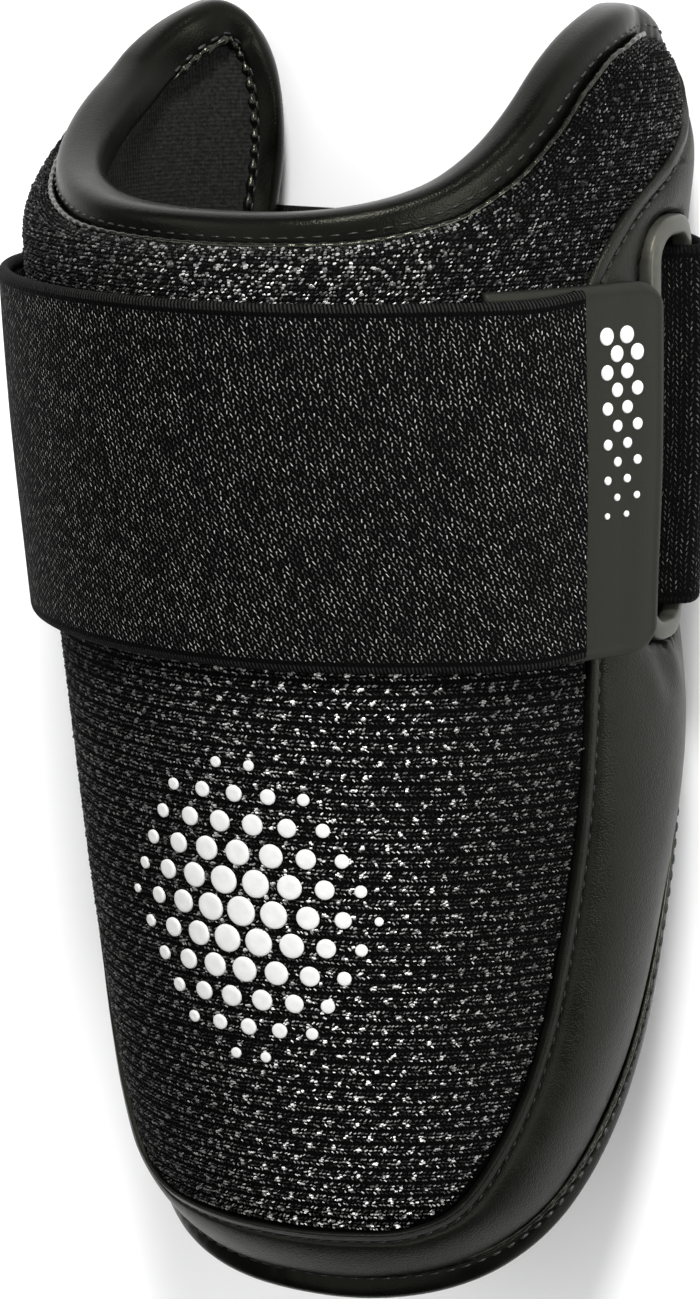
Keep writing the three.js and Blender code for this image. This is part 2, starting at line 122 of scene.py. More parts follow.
# The strap, its tab and the loop it comes through
STRAP_WIDTH = 63.5
STRAP_THICK = 2.2
STRAP_LOW_Y = 122.0
STRAP_RISE_AT_LOOP = 5.6
TAB_THICK = 1.6
TAB_LOW_Y = 121.8
TAB_HIGH_Y = 186.8
TAB_CORNER = 6.0
TAB_START = 50.0
TAB_END = 84.0
LOOP_FRONT_PHI = 85.2
LOOP_HALF_WIDTH = 7.7
LOOP_HALF_HEIGHT = 35.6
LOOP_CORNER = 6.4
LOOP_MIDDLE_Y = STRAP_LOW_Y + STRAP_RISE_AT_LOOP + STRAP_WIDTH / 2
LOOP_BAND = 1.8
LOOP_INSIDE = -2.5
LOOP_OUTSIDE = 1.0
WINDOW_GROWTH = 2.6
WINDOW_DEPTH = -5.6
# columns: millimetres from the loop's middle, height of the strap's middle
STRAP_AT_LOOP = np.array([
    [-4.5, -4.3],
    [-1, -4.2],
    [1.4, -3.2],
    [2.9, -1.2],
    [3.7, 0.7],
    [4.6, 2.2],
    [6.4, 2.9],
    [9, 2.8],
])
# columns: phi, height of the strap's middle
STRAP_ON_RIGHT = np.array([[116, 2.1], [126, 1.9], [134, 1.9]])
STRAP_ON_LEFT = np.array([
    [-134, 1.9],
    [-125, 2.2],
    [-112, 3.2],
    [-98, 4.2],
    [-82, 4.6],
    [-66, 4.2],
    [-50, 3.2],
    [-34, 2.2],
    [-18, 1.7],
    [0, 1.65],
    [16, 1.65],
    [32, 1.65],
    [40, 1.8],
    [46, 2.7],
    [50, 3.4],
    [57, 3.6],
    [65.5, 3.75],
])
STRAP_FLAT_Z = 5.8
STRAP_FLAT_SHARES = np.array([0.045, 0.2, 0.5, 0.8, 0.955])
# columns: phi, height of the tab's under face
TAB_UNDER = np.array([[50, 0.35], [66, 0.5], [74, 0.7], [80, 1.5], [84, 1.8]])


def through_table(rows, column):
    """A cubic from row to row of a table, level at peaks, with the harmonic mean of the slopes on
    both sides as its slope at each row, and straight past the ends."""
    x = rows[:, 0]
    y = rows[:, column]
    step = np.diff(x)
    slope = np.diff(y) / step
    before, after = slope[:-1], slope[1:]
    total = np.where(before + after == 0, 1, before + after)
    inner = np.where(before * after > 0, 2 * before * after / total, 0)
    lean = np.concatenate([slope[:1], inner, slope[-1:]])

    def value(q):
        q = np.asarray(q, float)
        i = np.clip(np.searchsorted(x, q) - 1, 0, len(x) - 2)
        t = (q - x[i]) / step[i]
        s = np.clip(t, 0, 1)
        rise = s * s * (3 - 2 * s)
        start = lean[i] * step[i] * s * (1 - s) ** 2
        finish = lean[i + 1] * step[i] * s * s * (s - 1)
        past = np.where(t < 0, lean[0], lean[-1]) * (t - s) * step[i]
        return y[i] + (y[i + 1] - y[i]) * rise + start + finish + past

    return value


left_width = through_table(SECTIONS, 1)
right_width = through_table(SECTIONS, 2)
front_height = through_table(SECTIONS, 3)
rear_depth = through_table(SECTIONS, 4)
scoop_at = through_table(SCOOP, 1)
scoop_roll = through_table(SCOOP, 2)
rib_numbers = np.column_stack([np.arange(len(RIBS)), RIBS])
puff_at = through_table(rib_numbers, 5)
strip_at = through_table(rib_numbers, 6)
tab_under = through_table(TAB_UNDER, 1)


def cross_section(phi, y):
    """The ellipse point and its unit normal across the arm: x is width times sine, z is height
    times cosine, and the normal is sine over width beside cosine over height."""
    angle = np.radians(phi)
    sine, cosine = np.sin(angle), np.cos(angle)
    width = np.where(sine >= 0, right_width(y), left_width(y))
    height = np.where(cosine >= 0, front_height(y), rear_depth(y))
    nx, nz = sine / width, cosine / height
    length = np.hypot(nx, nz)
    return width * sine, AXIS_HEIGHT + height * cosine, nx / length, nz / length


def shell(phi, y, off):
    """A point of the shell in the part's frame, in metres: the ellipse point moved out along its
    normal by off."""
    phi, y, off = np.broadcast_arrays(np.asarray(phi, float), y, off)
    x, z, nx, nz = cross_section(phi, y)
    return (np.stack([x + off * nx, y, z + off * nz], -1) - FRAME_SHIFT) / 1000


def outward(phi, y):
    """The unit normal of the shell across the arm."""
    phi, y = np.broadcast_arrays(np.asarray(phi, float), y)
    _, _, nx, nz = cross_section(phi, y)
    return np.stack([nx, np.zeros_like(nx), nz], -1)


def unit(vectors):
    """Vectors made one long."""
    return vectors / np.maximum(np.linalg.norm(vectors, axis=-1, keepdims=True), 1e-12)


def signed_power(values, power):
    """Values to a power, with their signs kept."""
    return np.sign(values) * np.abs(values) ** power


def ridge(values, place, height, width):
    """A soft ridge across values: its height times e to the minus square of the distance from its
    place over its width. A height below zero makes a groove."""
    return height * np.exp(-((values - place) / width) ** 2)


def quarter_round(share):
    """A quarter circle's drop, whole at a share of 0 and none at a share of 1."""
    return 1 - np.sqrt(1 - (1 - share) ** 2)


def line_length(points):
    """Millimetres along a polyline from its start to each of its points."""
    return np.append(0, np.cumsum(np.linalg.norm(np.diff(points, axis=0), axis=1))) * 1000


def rows_between(low, high, rows):
    """Angles and places along the arm at shares of the way from each low place to its high one."""
    run = high - low
    return low[:, :1] + run[:, :1] * rows, low[:, 1:] + run[:, 1:] * rows


# Half the step, in degrees, over which lengths round the shell are measured
DEGREE_STEP = 0.25


def degree_length(phi, y):
    """Millimetres round the shell in one degree, halfway through the wall."""
    ends = shell(phi + DEGREE_STEP, y, WALL_MIDDLE) - shell(phi - DEGREE_STEP, y, WALL_MIDDLE)
    return np.linalg.norm(ends, axis=-1) * 1000 / (2 * DEGREE_STEP)


def smooth_line(points, closed):
    """A centripetal Catmull-Rom line through points, as a function of the point's number: each
    span is a cubic whose end slopes come from the square roots of the distances about it."""
    p = np.asarray(points, float)
    count = len(p)
    if closed:
        ring = np.concatenate([p[-1:], p, p[:2]])
    else:
        ring = np.concatenate([2 * p[:1] - p[1:2], p, 2 * p[-1:] - p[-2:-1]])

    def gap(u, v):
        return np.maximum(np.sum((u - v) ** 2, -1, keepdims=True) ** 0.25, 1e-4)

    def at(number):
        number = np.asarray(number, float)
        number = number % count if closed else np.clip(number, 0, count - 1)
        i = np.minimum(np.floor(number).astype(int), count - 1 if closed else count - 2)
        t = (number - i)[..., None]
        a, b, c, d = (ring[i + k] for k in range(4))
        ab, bc, cd = gap(a, b), gap(b, c), gap(c, d)
        start = ((b - a) / ab - (c - a) / (ab + bc) + (c - b) / bc) * bc
        finish = ((c - b) / bc - (d - b) / (bc + cd) + (d - c) / cd) * bc
        bend = 3 * (c - b) - 2 * start - finish
        return b + start * t + bend * t ** 2 + (2 * (b - c) + start + finish) * t ** 3

    return at


# The rolled edge's middle line, round the whole shell from the toe up the right flap, drawn flat
# with so many millimetres to a degree
FLAT_DEGREE = 0.9
NUMBER_STEP = 0.01
settled = np.minimum(np.arange(len(SCOOP)), np.arange(len(SCOOP))[::-1])
settled = np.minimum(1, CORNER_BLEND + settled)
# columns: phi, y, half height, middle, half width
flap_edge = np.column_stack([
    RIBS[:, :2],
    np.full(len(RIBS), ROLL_HALF_HEIGHT),
    np.full(len(RIBS), WALL_MIDDLE),
    np.full(len(RIBS), ROLL_HALF_WIDTH),
])
scoop_edge = np.column_stack([
    SCOOP,
    WALL_MIDDLE + (SCOOP_MIDDLE - WALL_MIDDLE) * settled,
    ROLL_HALF_WIDTH + (SCOOP_HALF_WIDTH - ROLL_HALF_WIDTH) * settled,
])
left_edge = flap_edge[1:] * np.array([-1, 1, 1, 1, 1])
edge_points = np.concatenate([flap_edge, scoop_edge[::-1], left_edge[::-1]])
EDGE_COUNT = len(edge_points)
edge_line = smooth_line(edge_points[:, :2] * np.array([FLAT_DEGREE, 1]), True)
right_seam = RIBS[:, 2:4] * np.array([FLAT_DEGREE, 1])
left_seam = right_seam[1:] * np.array([-1, 1])
seam_line = smooth_line(np.concatenate([left_seam[::-1], right_seam]), False)


def beside(line, number, shift):
    """Places at a number along a line of phi and y, moved to its left by some millimetres."""
    here = line(number)
    along = line(number + NUMBER_STEP) - line(number - NUMBER_STEP)
    phi = here[..., 0] / FLAT_DEGREE
    length = degree_length(phi, here[..., 1])
    way = unit(np.stack([along[..., 0] / FLAT_DEGREE * length, along[..., 1]], -1))
    return np.stack([phi - way[..., 1] * shift / length, here[..., 1] + way[..., 0] * shift], -1)


def edge_place(number, inset):
    """A place on the rolled edge's middle line, moved into the wall."""
    return beside(edge_line, np.asarray(number, float) % EDGE_COUNT, inset)


def seam_place(rib, shift):
    """A place on the seam of mesh and leather by rib number, moved toward the leather."""
    return beside(seam_line, np.asarray(rib, float) + LAST_RIB, -shift)


def edge_value(number, column):
    """A column of the rolled edge's table, straight from point to point."""
    number = np.asarray(number, float) % EDGE_COUNT
    closed = np.append(edge_points[:, column], edge_points[0, column])
    return np.interp(number, np.arange(EDGE_COUNT + 1), closed)


def scoop_end(phi):
    """Where the wall stops below the scooped end's roll."""
    rise = scoop_at(phi + 0.5) - scoop_at(phi - 0.5)
    slope = rise / degree_length(phi, scoop_at(phi))
    return scoop_at(phi) - (scoop_roll(phi) - ROLL_OVERLAP) * np.hypot(1, slope)


def mesh_end(phi):
    """Where the mesh stops, a little higher."""
    return scoop_end(phi) + MESH_RISE


# Millimetres round the outer face at the loop, counted from its middle
GIRTH_START = 60
GIRTH_END = 140
girth_phi = np.arange(GIRTH_START, GIRTH_END, DEGREE_STEP)
girth = line_length(shell(girth_phi, LOOP_MIDDLE_Y, 0))
LOOP_GIRTH = np.interp(LOOP_FRONT_PHI, girth_phi, girth) + LOOP_HALF_WIDTH


def phi_from_loop(across):
    """The angle some millimetres round from the loop's middle."""
    return np.interp(LOOP_GIRTH + np.asarray(across), girth, girth_phi)


def loop_distance(phi, y):
    """Millimetres outside the loop's rounded outline, negative inside, with the way out of it:
    the distance to a box of corner centres less the corner's radius."""
    across = np.interp(phi, girth_phi, girth) - LOOP_GIRTH
    up = y - LOOP_MIDDLE_Y
    far_x = np.abs(across) - (LOOP_HALF_WIDTH - LOOP_CORNER)
    far_y = np.abs(up) - (LOOP_HALF_HEIGHT - LOOP_CORNER)
    out_x, out_y = np.maximum(far_x, 0), np.maximum(far_y, 0)
    distance = np.hypot(out_x, out_y) + np.minimum(np.maximum(far_x, far_y), 0) - LOOP_CORNER
    corner = np.hypot(out_x, out_y) > 1e-9
    way_x = np.where(corner, out_x, far_x > far_y) * np.sign(across)
    way_y = np.where(corner, out_y, far_x <= far_y) * np.sign(up)
    return distance, across, up, unit(np.stack([way_x, way_y], -1))


def grid_faces(rows, columns, start=0, wrap_rows=False, wrap_columns=False):
    """Quads of a grid of points numbered row by row, joined end to end where it wraps."""
    ids = np.arange(rows * columns).reshape(rows, columns) + start
    if wrap_rows:
        ids = np.concatenate([ids, ids[:1]])
    if wrap_columns:
        ids = np.concatenate([ids, ids[:, :1]], axis=1)
    quads = [ids[:-1, :-1], ids[1:, :-1], ids[1:, 1:], ids[:-1, 1:]]
    return np.stack(quads, -1).reshape(-1, 4)


def slab(top, under):
    """A closed solid from a grid of points on top and one below it, walled along the border."""
    rows, columns = top.shape[:2]
    count = rows * columns
    ids = np.arange(count).reshape(rows, columns)
    border = np.concatenate([ids[:-1, 0], ids[-1, :-1], ids[:0:-1, -1], ids[0, :0:-1]])
    after = np.roll(border, -1)
    face = grid_faces(rows, columns)
    wall = np.stack([after, border, border + count, after + count], -1)
    points = np.concatenate([top.reshape(-1, 3), under.reshape(-1, 3)])
    return points, np.concatenate([face, face[:, ::-1] + count, wall])


def signed_volume(points, faces):
    """Six times the volume inside quads, each cut in two triangles."""
    a, b, c, d = (points[faces[:, k]] for k in range(4))
    return np.sum(a * (np.cross(b, c) + np.cross(c, d)))


def add_piece(name, points, faces, material, uv=None):
    """A mesh object at the origin with faces turned outward; uv is one pair for each point."""
    if faces.shape[1] == 4 and signed_volume(points, faces) < 0:
        faces = faces[:, ::-1]
    mesh = bpy.data.meshes.new(name)
    size = faces.shape[1]
    mesh.vertices.add(len(points))
    mesh.vertices.foreach_set("co", np.ascontiguousarray(points, np.float32).ravel())
    mesh.loops.add(faces.size)
    mesh.loops.foreach_set("vertex_index", np.ascontiguousarray(faces, np.int32).ravel())
    mesh.polygons.add(len(faces))
    mesh.polygons.foreach_set("loop_start", np.arange(0, faces.size, size, dtype=np.int32))
    mesh.update(calc_edges=True)
    mesh.validate()
    if uv is not None:
        layer = mesh.uv_layers.new(name="cloth")
        order = np.empty(len(mesh.loops), np.int32)
        mesh.loops.foreach_get("vertex_index", order)
        layer.data.foreach_set("uv", np.ascontiguousarray(uv[order], np.float32).ravel())
    mesh.polygons.foreach_set("use_smooth", np.ones(len(mesh.polygons), bool))
    mesh.materials.append(material)
    piece = bpy.data.objects.new(name, mesh)
    bpy.context.collection.objects.link(piece)
    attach(piece, "root")
    return piece


# Stitches: a small dome of two rings of points and a top, set down many times
DOME_SIDES = 6
DOME_FOOT = -0.25
DOME_SHOULDER = (0.72, 0.62, 0.72)
dome_turn = np.linspace(0, 2 * np.pi, DOME_SIDES + 1)[:-1]
dome_ring = np.column_stack([np.cos(dome_turn), np.sin(dome_turn), np.ones(DOME_SIDES)])
# columns: along, across, height
DOME = np.concatenate([dome_ring * (1, 1, DOME_FOOT), dome_ring * DOME_SHOULDER, [[0, 0, 1]]])
low_ring = np.arange(DOME_SIDES)
next_low = np.roll(low_ring, -1)
high_ring = low_ring + DOME_SIDES
next_high = next_low + DOME_SIDES
DOME_FACES = np.concatenate([
    np.column_stack([low_ring, next_low, next_high]),
    np.column_stack([low_ring, next_high, high_ring]),
    np.column_stack([high_ring, next_high, np.full(DOME_SIDES, 2 * DOME_SIDES)]),
])

# Knit loops: a four-sided mound with a level top, so that each catches the light as one
# columns: along, across, height
MOUND = np.array([
    [1, 0.55, -0.4], [-1, 0.9, -0.4], [-1, -0.55, -0.4], [1, -0.9, -0.4],
    [0.7, 0.42, 1], [-0.7, 0.62, 1], [-0.7, -0.42, 1], [0.7, -0.62, 1],
])
MOUND_FACES = np.array([
    [0, 1, 5], [0, 5, 4], [1, 2, 6], [1, 6, 5], [2, 3, 7], [2, 7, 6], [3, 0, 4], [3, 4, 7],
    [4, 5, 6], [4, 6, 7],
])


def mounds(centres, along, up, half_length, half_width, height, shape=DOME, shape_faces=DOME_FACES):
    """Small mounds at centres: each is a shape as long, wide and high as given, in millimetres, its
    length turned to along and its top to up."""
    along = unit(along - np.sum(along * up, -1, keepdims=True) * up)
    across = np.cross(up, along)
    sizes = np.broadcast_arrays(half_length, half_width, height, np.zeros(len(centres)))[:3]
    axes = [axis * (size / 1000)[:, None] for axis, size in zip((along, across, up), sizes)]
    points = centres[:, None] + sum(axis[:, None] * shape[None, :, k, None]
                                    for k, axis in enumerate(axes))
    faces = shape_faces[None] + (np.arange(len(centres)) * len(shape))[:, None, None]
    return points.reshape(-1, 3), faces.reshape(-1, 3)


def even_steps(points, pitch, start=0.0):
    """Numbers along a polyline, in points, that lie a pitch of millimetres apart."""
    length = line_length(points)
    return np.interp(np.arange(start, length[-1], pitch), length, np.arange(len(points)))


def along_line(values, numbers):
    """Values listed along a line, read between its points."""
    i = np.minimum(numbers.astype(int), len(values) - 2)
    t = (numbers - i)[:, None]
    return values[i] * (1 - t) + values[i + 1] * t


def stitch_row(points, up, pitch, length, width, height):
    """A row of thread stitches along a line of points, with gaps between them."""
    numbers = even_steps(points, pitch, pitch / 2)
    centres = along_line(points, numbers)
    ahead = along_line(points, np.minimum(numbers + 0.5, len(points) - 1))
    behind = along_line(points, np.maximum(numbers - 0.5, 0))
    top = unit(along_line(up, numbers))
    return mounds(centres, ahead - behind, top, length / 2, width / 2, height)


def joined(parts):
    """Several sets of points and faces as one."""
    starts = np.cumsum([0] + [len(points) for points, _ in parts[:-1]])
    points = np.concatenate([points for points, _ in parts])
    return points, np.concatenate([faces + start for (_, faces), start in zip(parts, starts)])


# Materials
class Wire:
    """A number in a material: adding, multiplying and the like put in Math nodes."""

    def __init__(self, tree, socket):
        self.tree = tree
        self.socket = socket

    def math(self, operation, *others):
        node = self.tree.nodes.new("ShaderNodeMath")
        node.operation = operation
        for slot, value in zip(node.inputs, (self, *others)):
            if isinstance(value, Wire):
                self.tree.links.new(value.socket, slot)
            else:
                slot.default_value = value
        return Wire(self.tree, node.outputs[0])

    def __add__(self, other):
        return self.math("ADD", other)

    def __sub__(self, other):
        return self.math("SUBTRACT", other)

    def __mul__(self, other):
        return self.math("MULTIPLY", other)

    def between(self, low, high, to_low=0.0, to_high=1.0):
        """A smooth step from one value to another as this goes from low to high."""
        node = self.tree.nodes.new("ShaderNodeMapRange")
        node.interpolation_type = "SMOOTHSTEP"
        self.tree.links.new(self.socket, node.inputs["Value"])
        names = ("From Min", "From Max", "To Min", "To Max")
        for name, value in zip(names, (low, high, to_low, to_high)):
            node.inputs[name].default_value = value
        return Wire(self.tree, node.outputs["Result"])


class Finish:
    """A material with one Principled shader and the sockets its patterns start from."""

    def __init__(self, name, **sockets):
        self.material = bpy.data.materials.new(name)
        self.material.use_nodes = True
        self.tree = self.material.node_tree
        self.shader = self.tree.nodes["Principled BSDF"]
        for socket, value in sockets.items():
            label = socket.replace("_", " ").title().replace("Ior", "IOR")
            self.shader.inputs[label].default_value = value
        self.coordinates = self.tree.nodes.new("ShaderNodeTexCoord")

    def cloth(self):
        """The two coordinates along the cloth, in millimetres."""
        split = self.tree.nodes.new("ShaderNodeSeparateXYZ")
        self.tree.links.new(self.coordinates.outputs["UV"], split.inputs[0])
        return Wire(self.tree, split.outputs[0]), Wire(self.tree, split.outputs[1])

    def noise(self, scale, detail=2.0, roughness=0.5):
        """Soft noise through space, with scale features to the metre."""
        node = self.tree.nodes.new("ShaderNodeTexNoise")
        self.tree.links.new(self.coordinates.outputs["Object"], node.inputs["Vector"])
        node.inputs["Scale"].default_value = scale
        node.inputs["Detail"].default_value = detail
        node.inputs["Roughness"].default_value = roughness
        return Wire(self.tree, node.outputs["Fac"])

    def cells(self, scale):
        """Distance to the nearest of many scattered points, with scale cells to the metre."""
        node = self.tree.nodes.new("ShaderNodeTexVoronoi")
        self.tree.links.new(self.coordinates.outputs["Object"], node.inputs["Vector"])
        node.inputs["Scale"].default_value = scale
        return Wire(self.tree, node.outputs["Distance"])

    def chance(self, column, row):
        """A number from 0 to 1 drawn once for each whole column and row."""
        pair = self.tree.nodes.new("ShaderNodeCombineXYZ")
        self.tree.links.new(column.socket, pair.inputs[0])
        self.tree.links.new(row.socket, pair.inputs[1])
        node = self.tree.nodes.new("ShaderNodeTexWhiteNoise")
        node.noise_dimensions = "2D"
        self.tree.links.new(pair.outputs[0], node.inputs["Vector"])
        return Wire(self.tree, node.outputs["Value"])

    def colour(self, share, dark, light):
        """A base colour between two as share goes from 0 to 1."""
        node = self.tree.nodes.new("ShaderNodeMix")
        node.data_type = "RGBA"
        self.tree.links.new(share.socket, node.inputs["Factor"])
        node.inputs["A"].default_value = (*dark, 1)
        node.inputs["B"].default_value = (*light, 1)
        self.tree.links.new(node.outputs["Result"], self.shader.inputs["Base Color"])

    def rough(self, share, low, high):
        """A roughness between two as share goes from 0 to 1."""
        self.tree.links.new(share.between(0, 1, low, high).socket, self.shader.inputs["Roughness"])

    def shine(self, share, low, high):
        """A strength of reflection between two as share goes from 0 to 1."""
        strength = share.between(0, 1, low, high)
        self.tree.links.new(strength.socket, self.shader.inputs["Specular IOR Level"])

    def relief(self, height, depth):
        """Relief as deep as depth millimetres where height goes from 0 to 1."""
        node = self.tree.nodes.new("ShaderNodeBump")
        node.inputs["Strength"].default_value = 1.0
        node.inputs["Distance"].default_value = depth / 1000
        self.tree.links.new(height.socket, node.inputs["Height"])
        self.tree.links.new(node.outputs["Normal"], self.shader.inputs["Normal"])


# Spans of soft noise, from its dark to its light
SOFT_SPAN = (0.3, 0.7)
FINE_SPAN = (0.35, 0.7)
# A warm tint for the shine of leather, rubber and plastic, and shares of a leather's tone in its
# dark and its light patches
WARM_SHINE = (0.99, 1.0, 0.8, 1.0)
DARK_PATCH = (0.54, 0.54, 0.48)
LIGHT_PATCH = (1, 1, 0.89)


def smooth_leather(name, tone, gloss, low_rough, high_rough, depth):
    """Satin artificial leather: fine pebbled grain and faint soft patches that reach a tone."""
    finish = Finish(name, specular_ior_level=gloss, specular_tint=WARM_SHINE)
    grain = finish.cells(scale=2600)
    patches = finish.noise(scale=140, detail=3)
    dark = tuple(share * tone for share in DARK_PATCH)
    light = tuple(share * tone for share in LIGHT_PATCH)
    finish.colour(patches.between(*SOFT_SPAN), dark, light)
    finish.rough(patches, low_rough, high_rough)
    finish.relief(grain.between(0.1, 0.7) * 0.5 + finish.noise(scale=380, detail=3) * 0.6, depth)
    return finish.material


def black_mesh():
    """The dark ground of the mesh, under its knit loops."""
    finish = Finish("mesh_ground", specular_ior_level=0.01)
    fuzz = finish.noise(scale=2600, detail=3)
    finish.colour(fuzz.between(*FINE_SPAN), dark=(0.001, 0.001, 0.001), light=(0.003, 0.003, 0.003))
    finish.rough(fuzz, low=0.7, high=0.9)
    finish.relief(fuzz, depth=0.25)
    return finish.material


def knit_yarn():
    """Nylon loops of the mesh: a loop's first cloth coordinate, from 0 to 1 and no more past that,
    sets how shiny it is and how light its colour is; the light colour is painted glint. The shine
    set on the shader's own socket stands in for the loops' own where that is dropped."""
    finish = Finish("knit_yarn", specular_ior_level=0.06)
    glow = finish.cloth()[0]
    fibre = finish.noise(scale=3600, detail=2)
    # Painted glint: the brighter a loop's glow, the lighter its colour, standing in for its highlights
    painted_glint = glow * fibre.between(*SOFT_SPAN, 0.6, 1.0)
    finish.colour(painted_glint, dark=(0.001, 0.001, 0.001), light=(0.72, 0.72, 0.7))
    finish.shine(glow, low=0.03, high=1.0)
    finish.rough(glow, low=0.45, high=0.2)
    finish.relief(fibre, depth=0.12)
    return finish.material


# The strap's weave: width and length of a yarn's place, slope of the yarns in even columns and of
# those in odd ones, and how far chance moves a yarn, as shares of its place
YARN_COLUMN = 0.82
YARN_ROW = 1.0
EVEN_SLOPE = -0.55
ODD_SLOPE = 0.33
YARN_STRAY = 0.34
# Millimetres from the strap's middle line over which the weave stops and the selvedge starts, the
# pitch of the selvedge's ticks, and the run over which the shaded start behind the loop brightens
WEAVE_END = (29.4, 29.7)
SELVEDGE_START = (30.3, 30.6)
TICK_PITCH = 0.66
SHADED_RUN = (20, 60)


def woven_elastic():
    """Woven elastic: columns of short yarns that lean by turns one way and the other, each column
    half a yarn off the next, the yarns lighter than the gaps, partly the weave's own pattern and
    partly painted glint, some yarns brighter by chance as painted glints, fine ticks along each
    selvedge, and painted shade over the start behind the loop."""
    finish = Finish("woven_elastic", specular_ior_level=0.03)
    along, across = finish.cloth()
    columns = along.math("DIVIDE", YARN_COLUMN)
    column = columns.math("FLOOR")
    odd = column.math("MODULO", 2)
    rows = across.math("DIVIDE", YARN_ROW) + odd * 0.5
    row = rows.math("FLOOR")
    shift = (finish.chance(row, column) - 0.5) * YARN_STRAY
    aside = columns.math("FRACT") - 0.5 + shift
    up = rows.math("FRACT") - 0.5
    slope = odd * (ODD_SLOPE - EVEN_SLOPE) + EVEN_SLOPE
    from_yarn = (aside - up * slope).math("ABSOLUTE")
    yarn = from_yarn.between(0.03, 0.2, 1, 0) * up.math("ABSOLUTE").between(0.18, 0.42, 1, 0)
    chance = finish.chance(column, row)
    fuzz = finish.noise(scale=1700, detail=3)
    # Painted glint: the yarns' light colour, more on some by chance, stands in for their highlights
    shine = yarn * (chance * chance * 1.1 + 0.08) * fuzz.between(0.35, 0.6, 0.25, 1.0)
    edge = (across - STRAP_WIDTH / 2).math("ABSOLUTE")
    from_tick = (along.math("DIVIDE", TICK_PITCH).math("FRACT") - 0.5).math("ABSOLUTE")
    tick = from_tick.between(0.1, 0.34, 0.03, 0)
    shine = shine * edge.between(*WEAVE_END, 1, 0) + tick * edge.between(*SELVEDGE_START)
    # Painted shade: the strap's start behind the loop is darker
    shine = shine * along.between(*SHADED_RUN, 0.25, 1.0)
    finish.colour(shine, dark=(0.001, 0.001, 0.001), light=(0.5, 0.5, 0.48))
    finish.rough(yarn, low=0.8, high=0.5)
    finish.relief(yarn + fuzz * 0.4, depth=0.3)
    return finish.material


# Pitches of the lining's ribs and of the stitches across them
LINING_RIB = 0.9
LINING_STITCH = 0.8


def brushed_lining():
    """Charcoal brushed knit: fine ribs along the cloth under soft nap."""
    finish = Finish("brushed_lining", specular_ior_level=0.2, roughness=0.9)
    along, across = finish.cloth()
    from_rib = (along.math("DIVIDE", LINING_RIB).math("FRACT") - 0.5).math("ABSOLUTE")
    from_stitch = (across.math("DIVIDE", LINING_STITCH).math("FRACT") - 0.5).math("ABSOLUTE")
    rib = from_rib.between(0.1, 0.5)
    stitch = from_stitch.between(0.1, 0.5)
    nap = finish.noise(scale=1400, detail=4, roughness=0.6)
    finish.colour(nap.between(*FINE_SPAN), dark=(0.0034, 0.0034, 0.0032), light=(0.014, 0.014, 0.013))
    finish.relief(rib * 0.5 + stitch * 0.3 + nap, depth=0.22)
    return finish.material


def moulded_rubber():
    """Matte grey rubber with a fine moulded tooth."""
    finish = Finish("moulded_rubber", specular_ior_level=0.18, specular_tint=WARM_SHINE)
    tooth = finish.noise(scale=3200, detail=2)
    finish.colour(tooth.between(*FINE_SPAN), dark=(0.006, 0.006, 0.0052), light=(0.009, 0.009, 0.0078))
    finish.rough(tooth, low=0.5, high=0.66)
    finish.relief(tooth, depth=0.04)
    return finish.material


def moulded_plastic():
    """Satin dark plastic, paler in soft patches as if rubbed."""
    finish = Finish("moulded_plastic", specular_ior_level=0.4, specular_tint=WARM_SHINE)
    rubbed = finish.noise(scale=220, detail=3)
    finish.colour(rubbed.between(*FINE_SPAN), dark=(0.022, 0.022, 0.019), light=(0.036, 0.036, 0.031))
    finish.rough(rubbed, low=0.34, high=0.46)
    finish.relief(finish.noise(scale=2400, detail=2), depth=0.02)
    return finish.material


def white_film():
    """White film with a faint unevenness."""
    finish = Finish("white_film", specular_ior_level=0.4)
    patches = finish.noise(scale=500, detail=3)
    finish.colour(patches.between(*SOFT_SPAN), dark=(0.52, 0.52, 0.51), light=(0.57, 0.57, 0.56))
    finish.rough(patches, low=0.42, high=0.55)
    finish.relief(finish.noise(scale=1800, detail=2), depth=0.03)
    return finish.material


def sewing_thread():
    """Black thread with a twist along it."""
    finish = Finish("sewing_thread", specular_ior_level=0.35)
    twist = finish.noise(scale=3000, detail=2)
    finish.colour(twist.between(*SOFT_SPAN), dark=(0.0012, 0.0012, 0.0012), light=(0.004, 0.004, 0.0036))
    finish.rough(twist, low=0.3, high=0.5)
    finish.relief(twist, depth=0.1)
    return finish.material


LEATHER = smooth_leather(
    "smooth_leather", tone=0.0044, gloss=0.155, low_rough=0.34, high_rough=0.46, depth=0.08)
ROLL_LEATHER = smooth_leather(
    "roll_leather", tone=0.0026, gloss=0.082, low_rough=0.24, high_rough=0.34, depth=0.035)
PIPING_LEATHER = smooth_leather(
    "piping_leather", tone=0.003, gloss=0.34, low_rough=0.18, high_rough=0.3, depth=0.03)
MESH_GROUND = black_mesh()
KNIT = knit_yarn()
ELASTIC = woven_elastic()
LINING = brushed_lining()
RUBBER = moulded_rubber()
PLASTIC = moulded_plastic()
FILM = white_film()
THREAD = sewing_thread()


# The mesh panel
MESH_COLUMNS = 161
MESH_ROWS = 34
MESH_CROWDING = 1.25
# Rows on the round-over, in millimetres below the mesh's end, drawn closer in a short column
NEAR_MESH_END = np.array([14, 11, 8, 6, 4.5, 3.2, 2, 1, 0.4, 0])
SHORT_COLUMN = 28
# The dip beside the seam with its reach, and how deep the knit loops stand in the panel
SEAM_DIP = 0.5
SEAM_DIP_REACH = 1.5
KNIT_SINK = 0.25


def mesh_face(phi, y):
    """The mesh's outer height: level, then a quarter round down to the roll."""
    below = np.clip((mesh_end(phi) - y) / ROUND_OVER_REACH, 0, 1)
    return -ROUND_OVER * quarter_round(below)


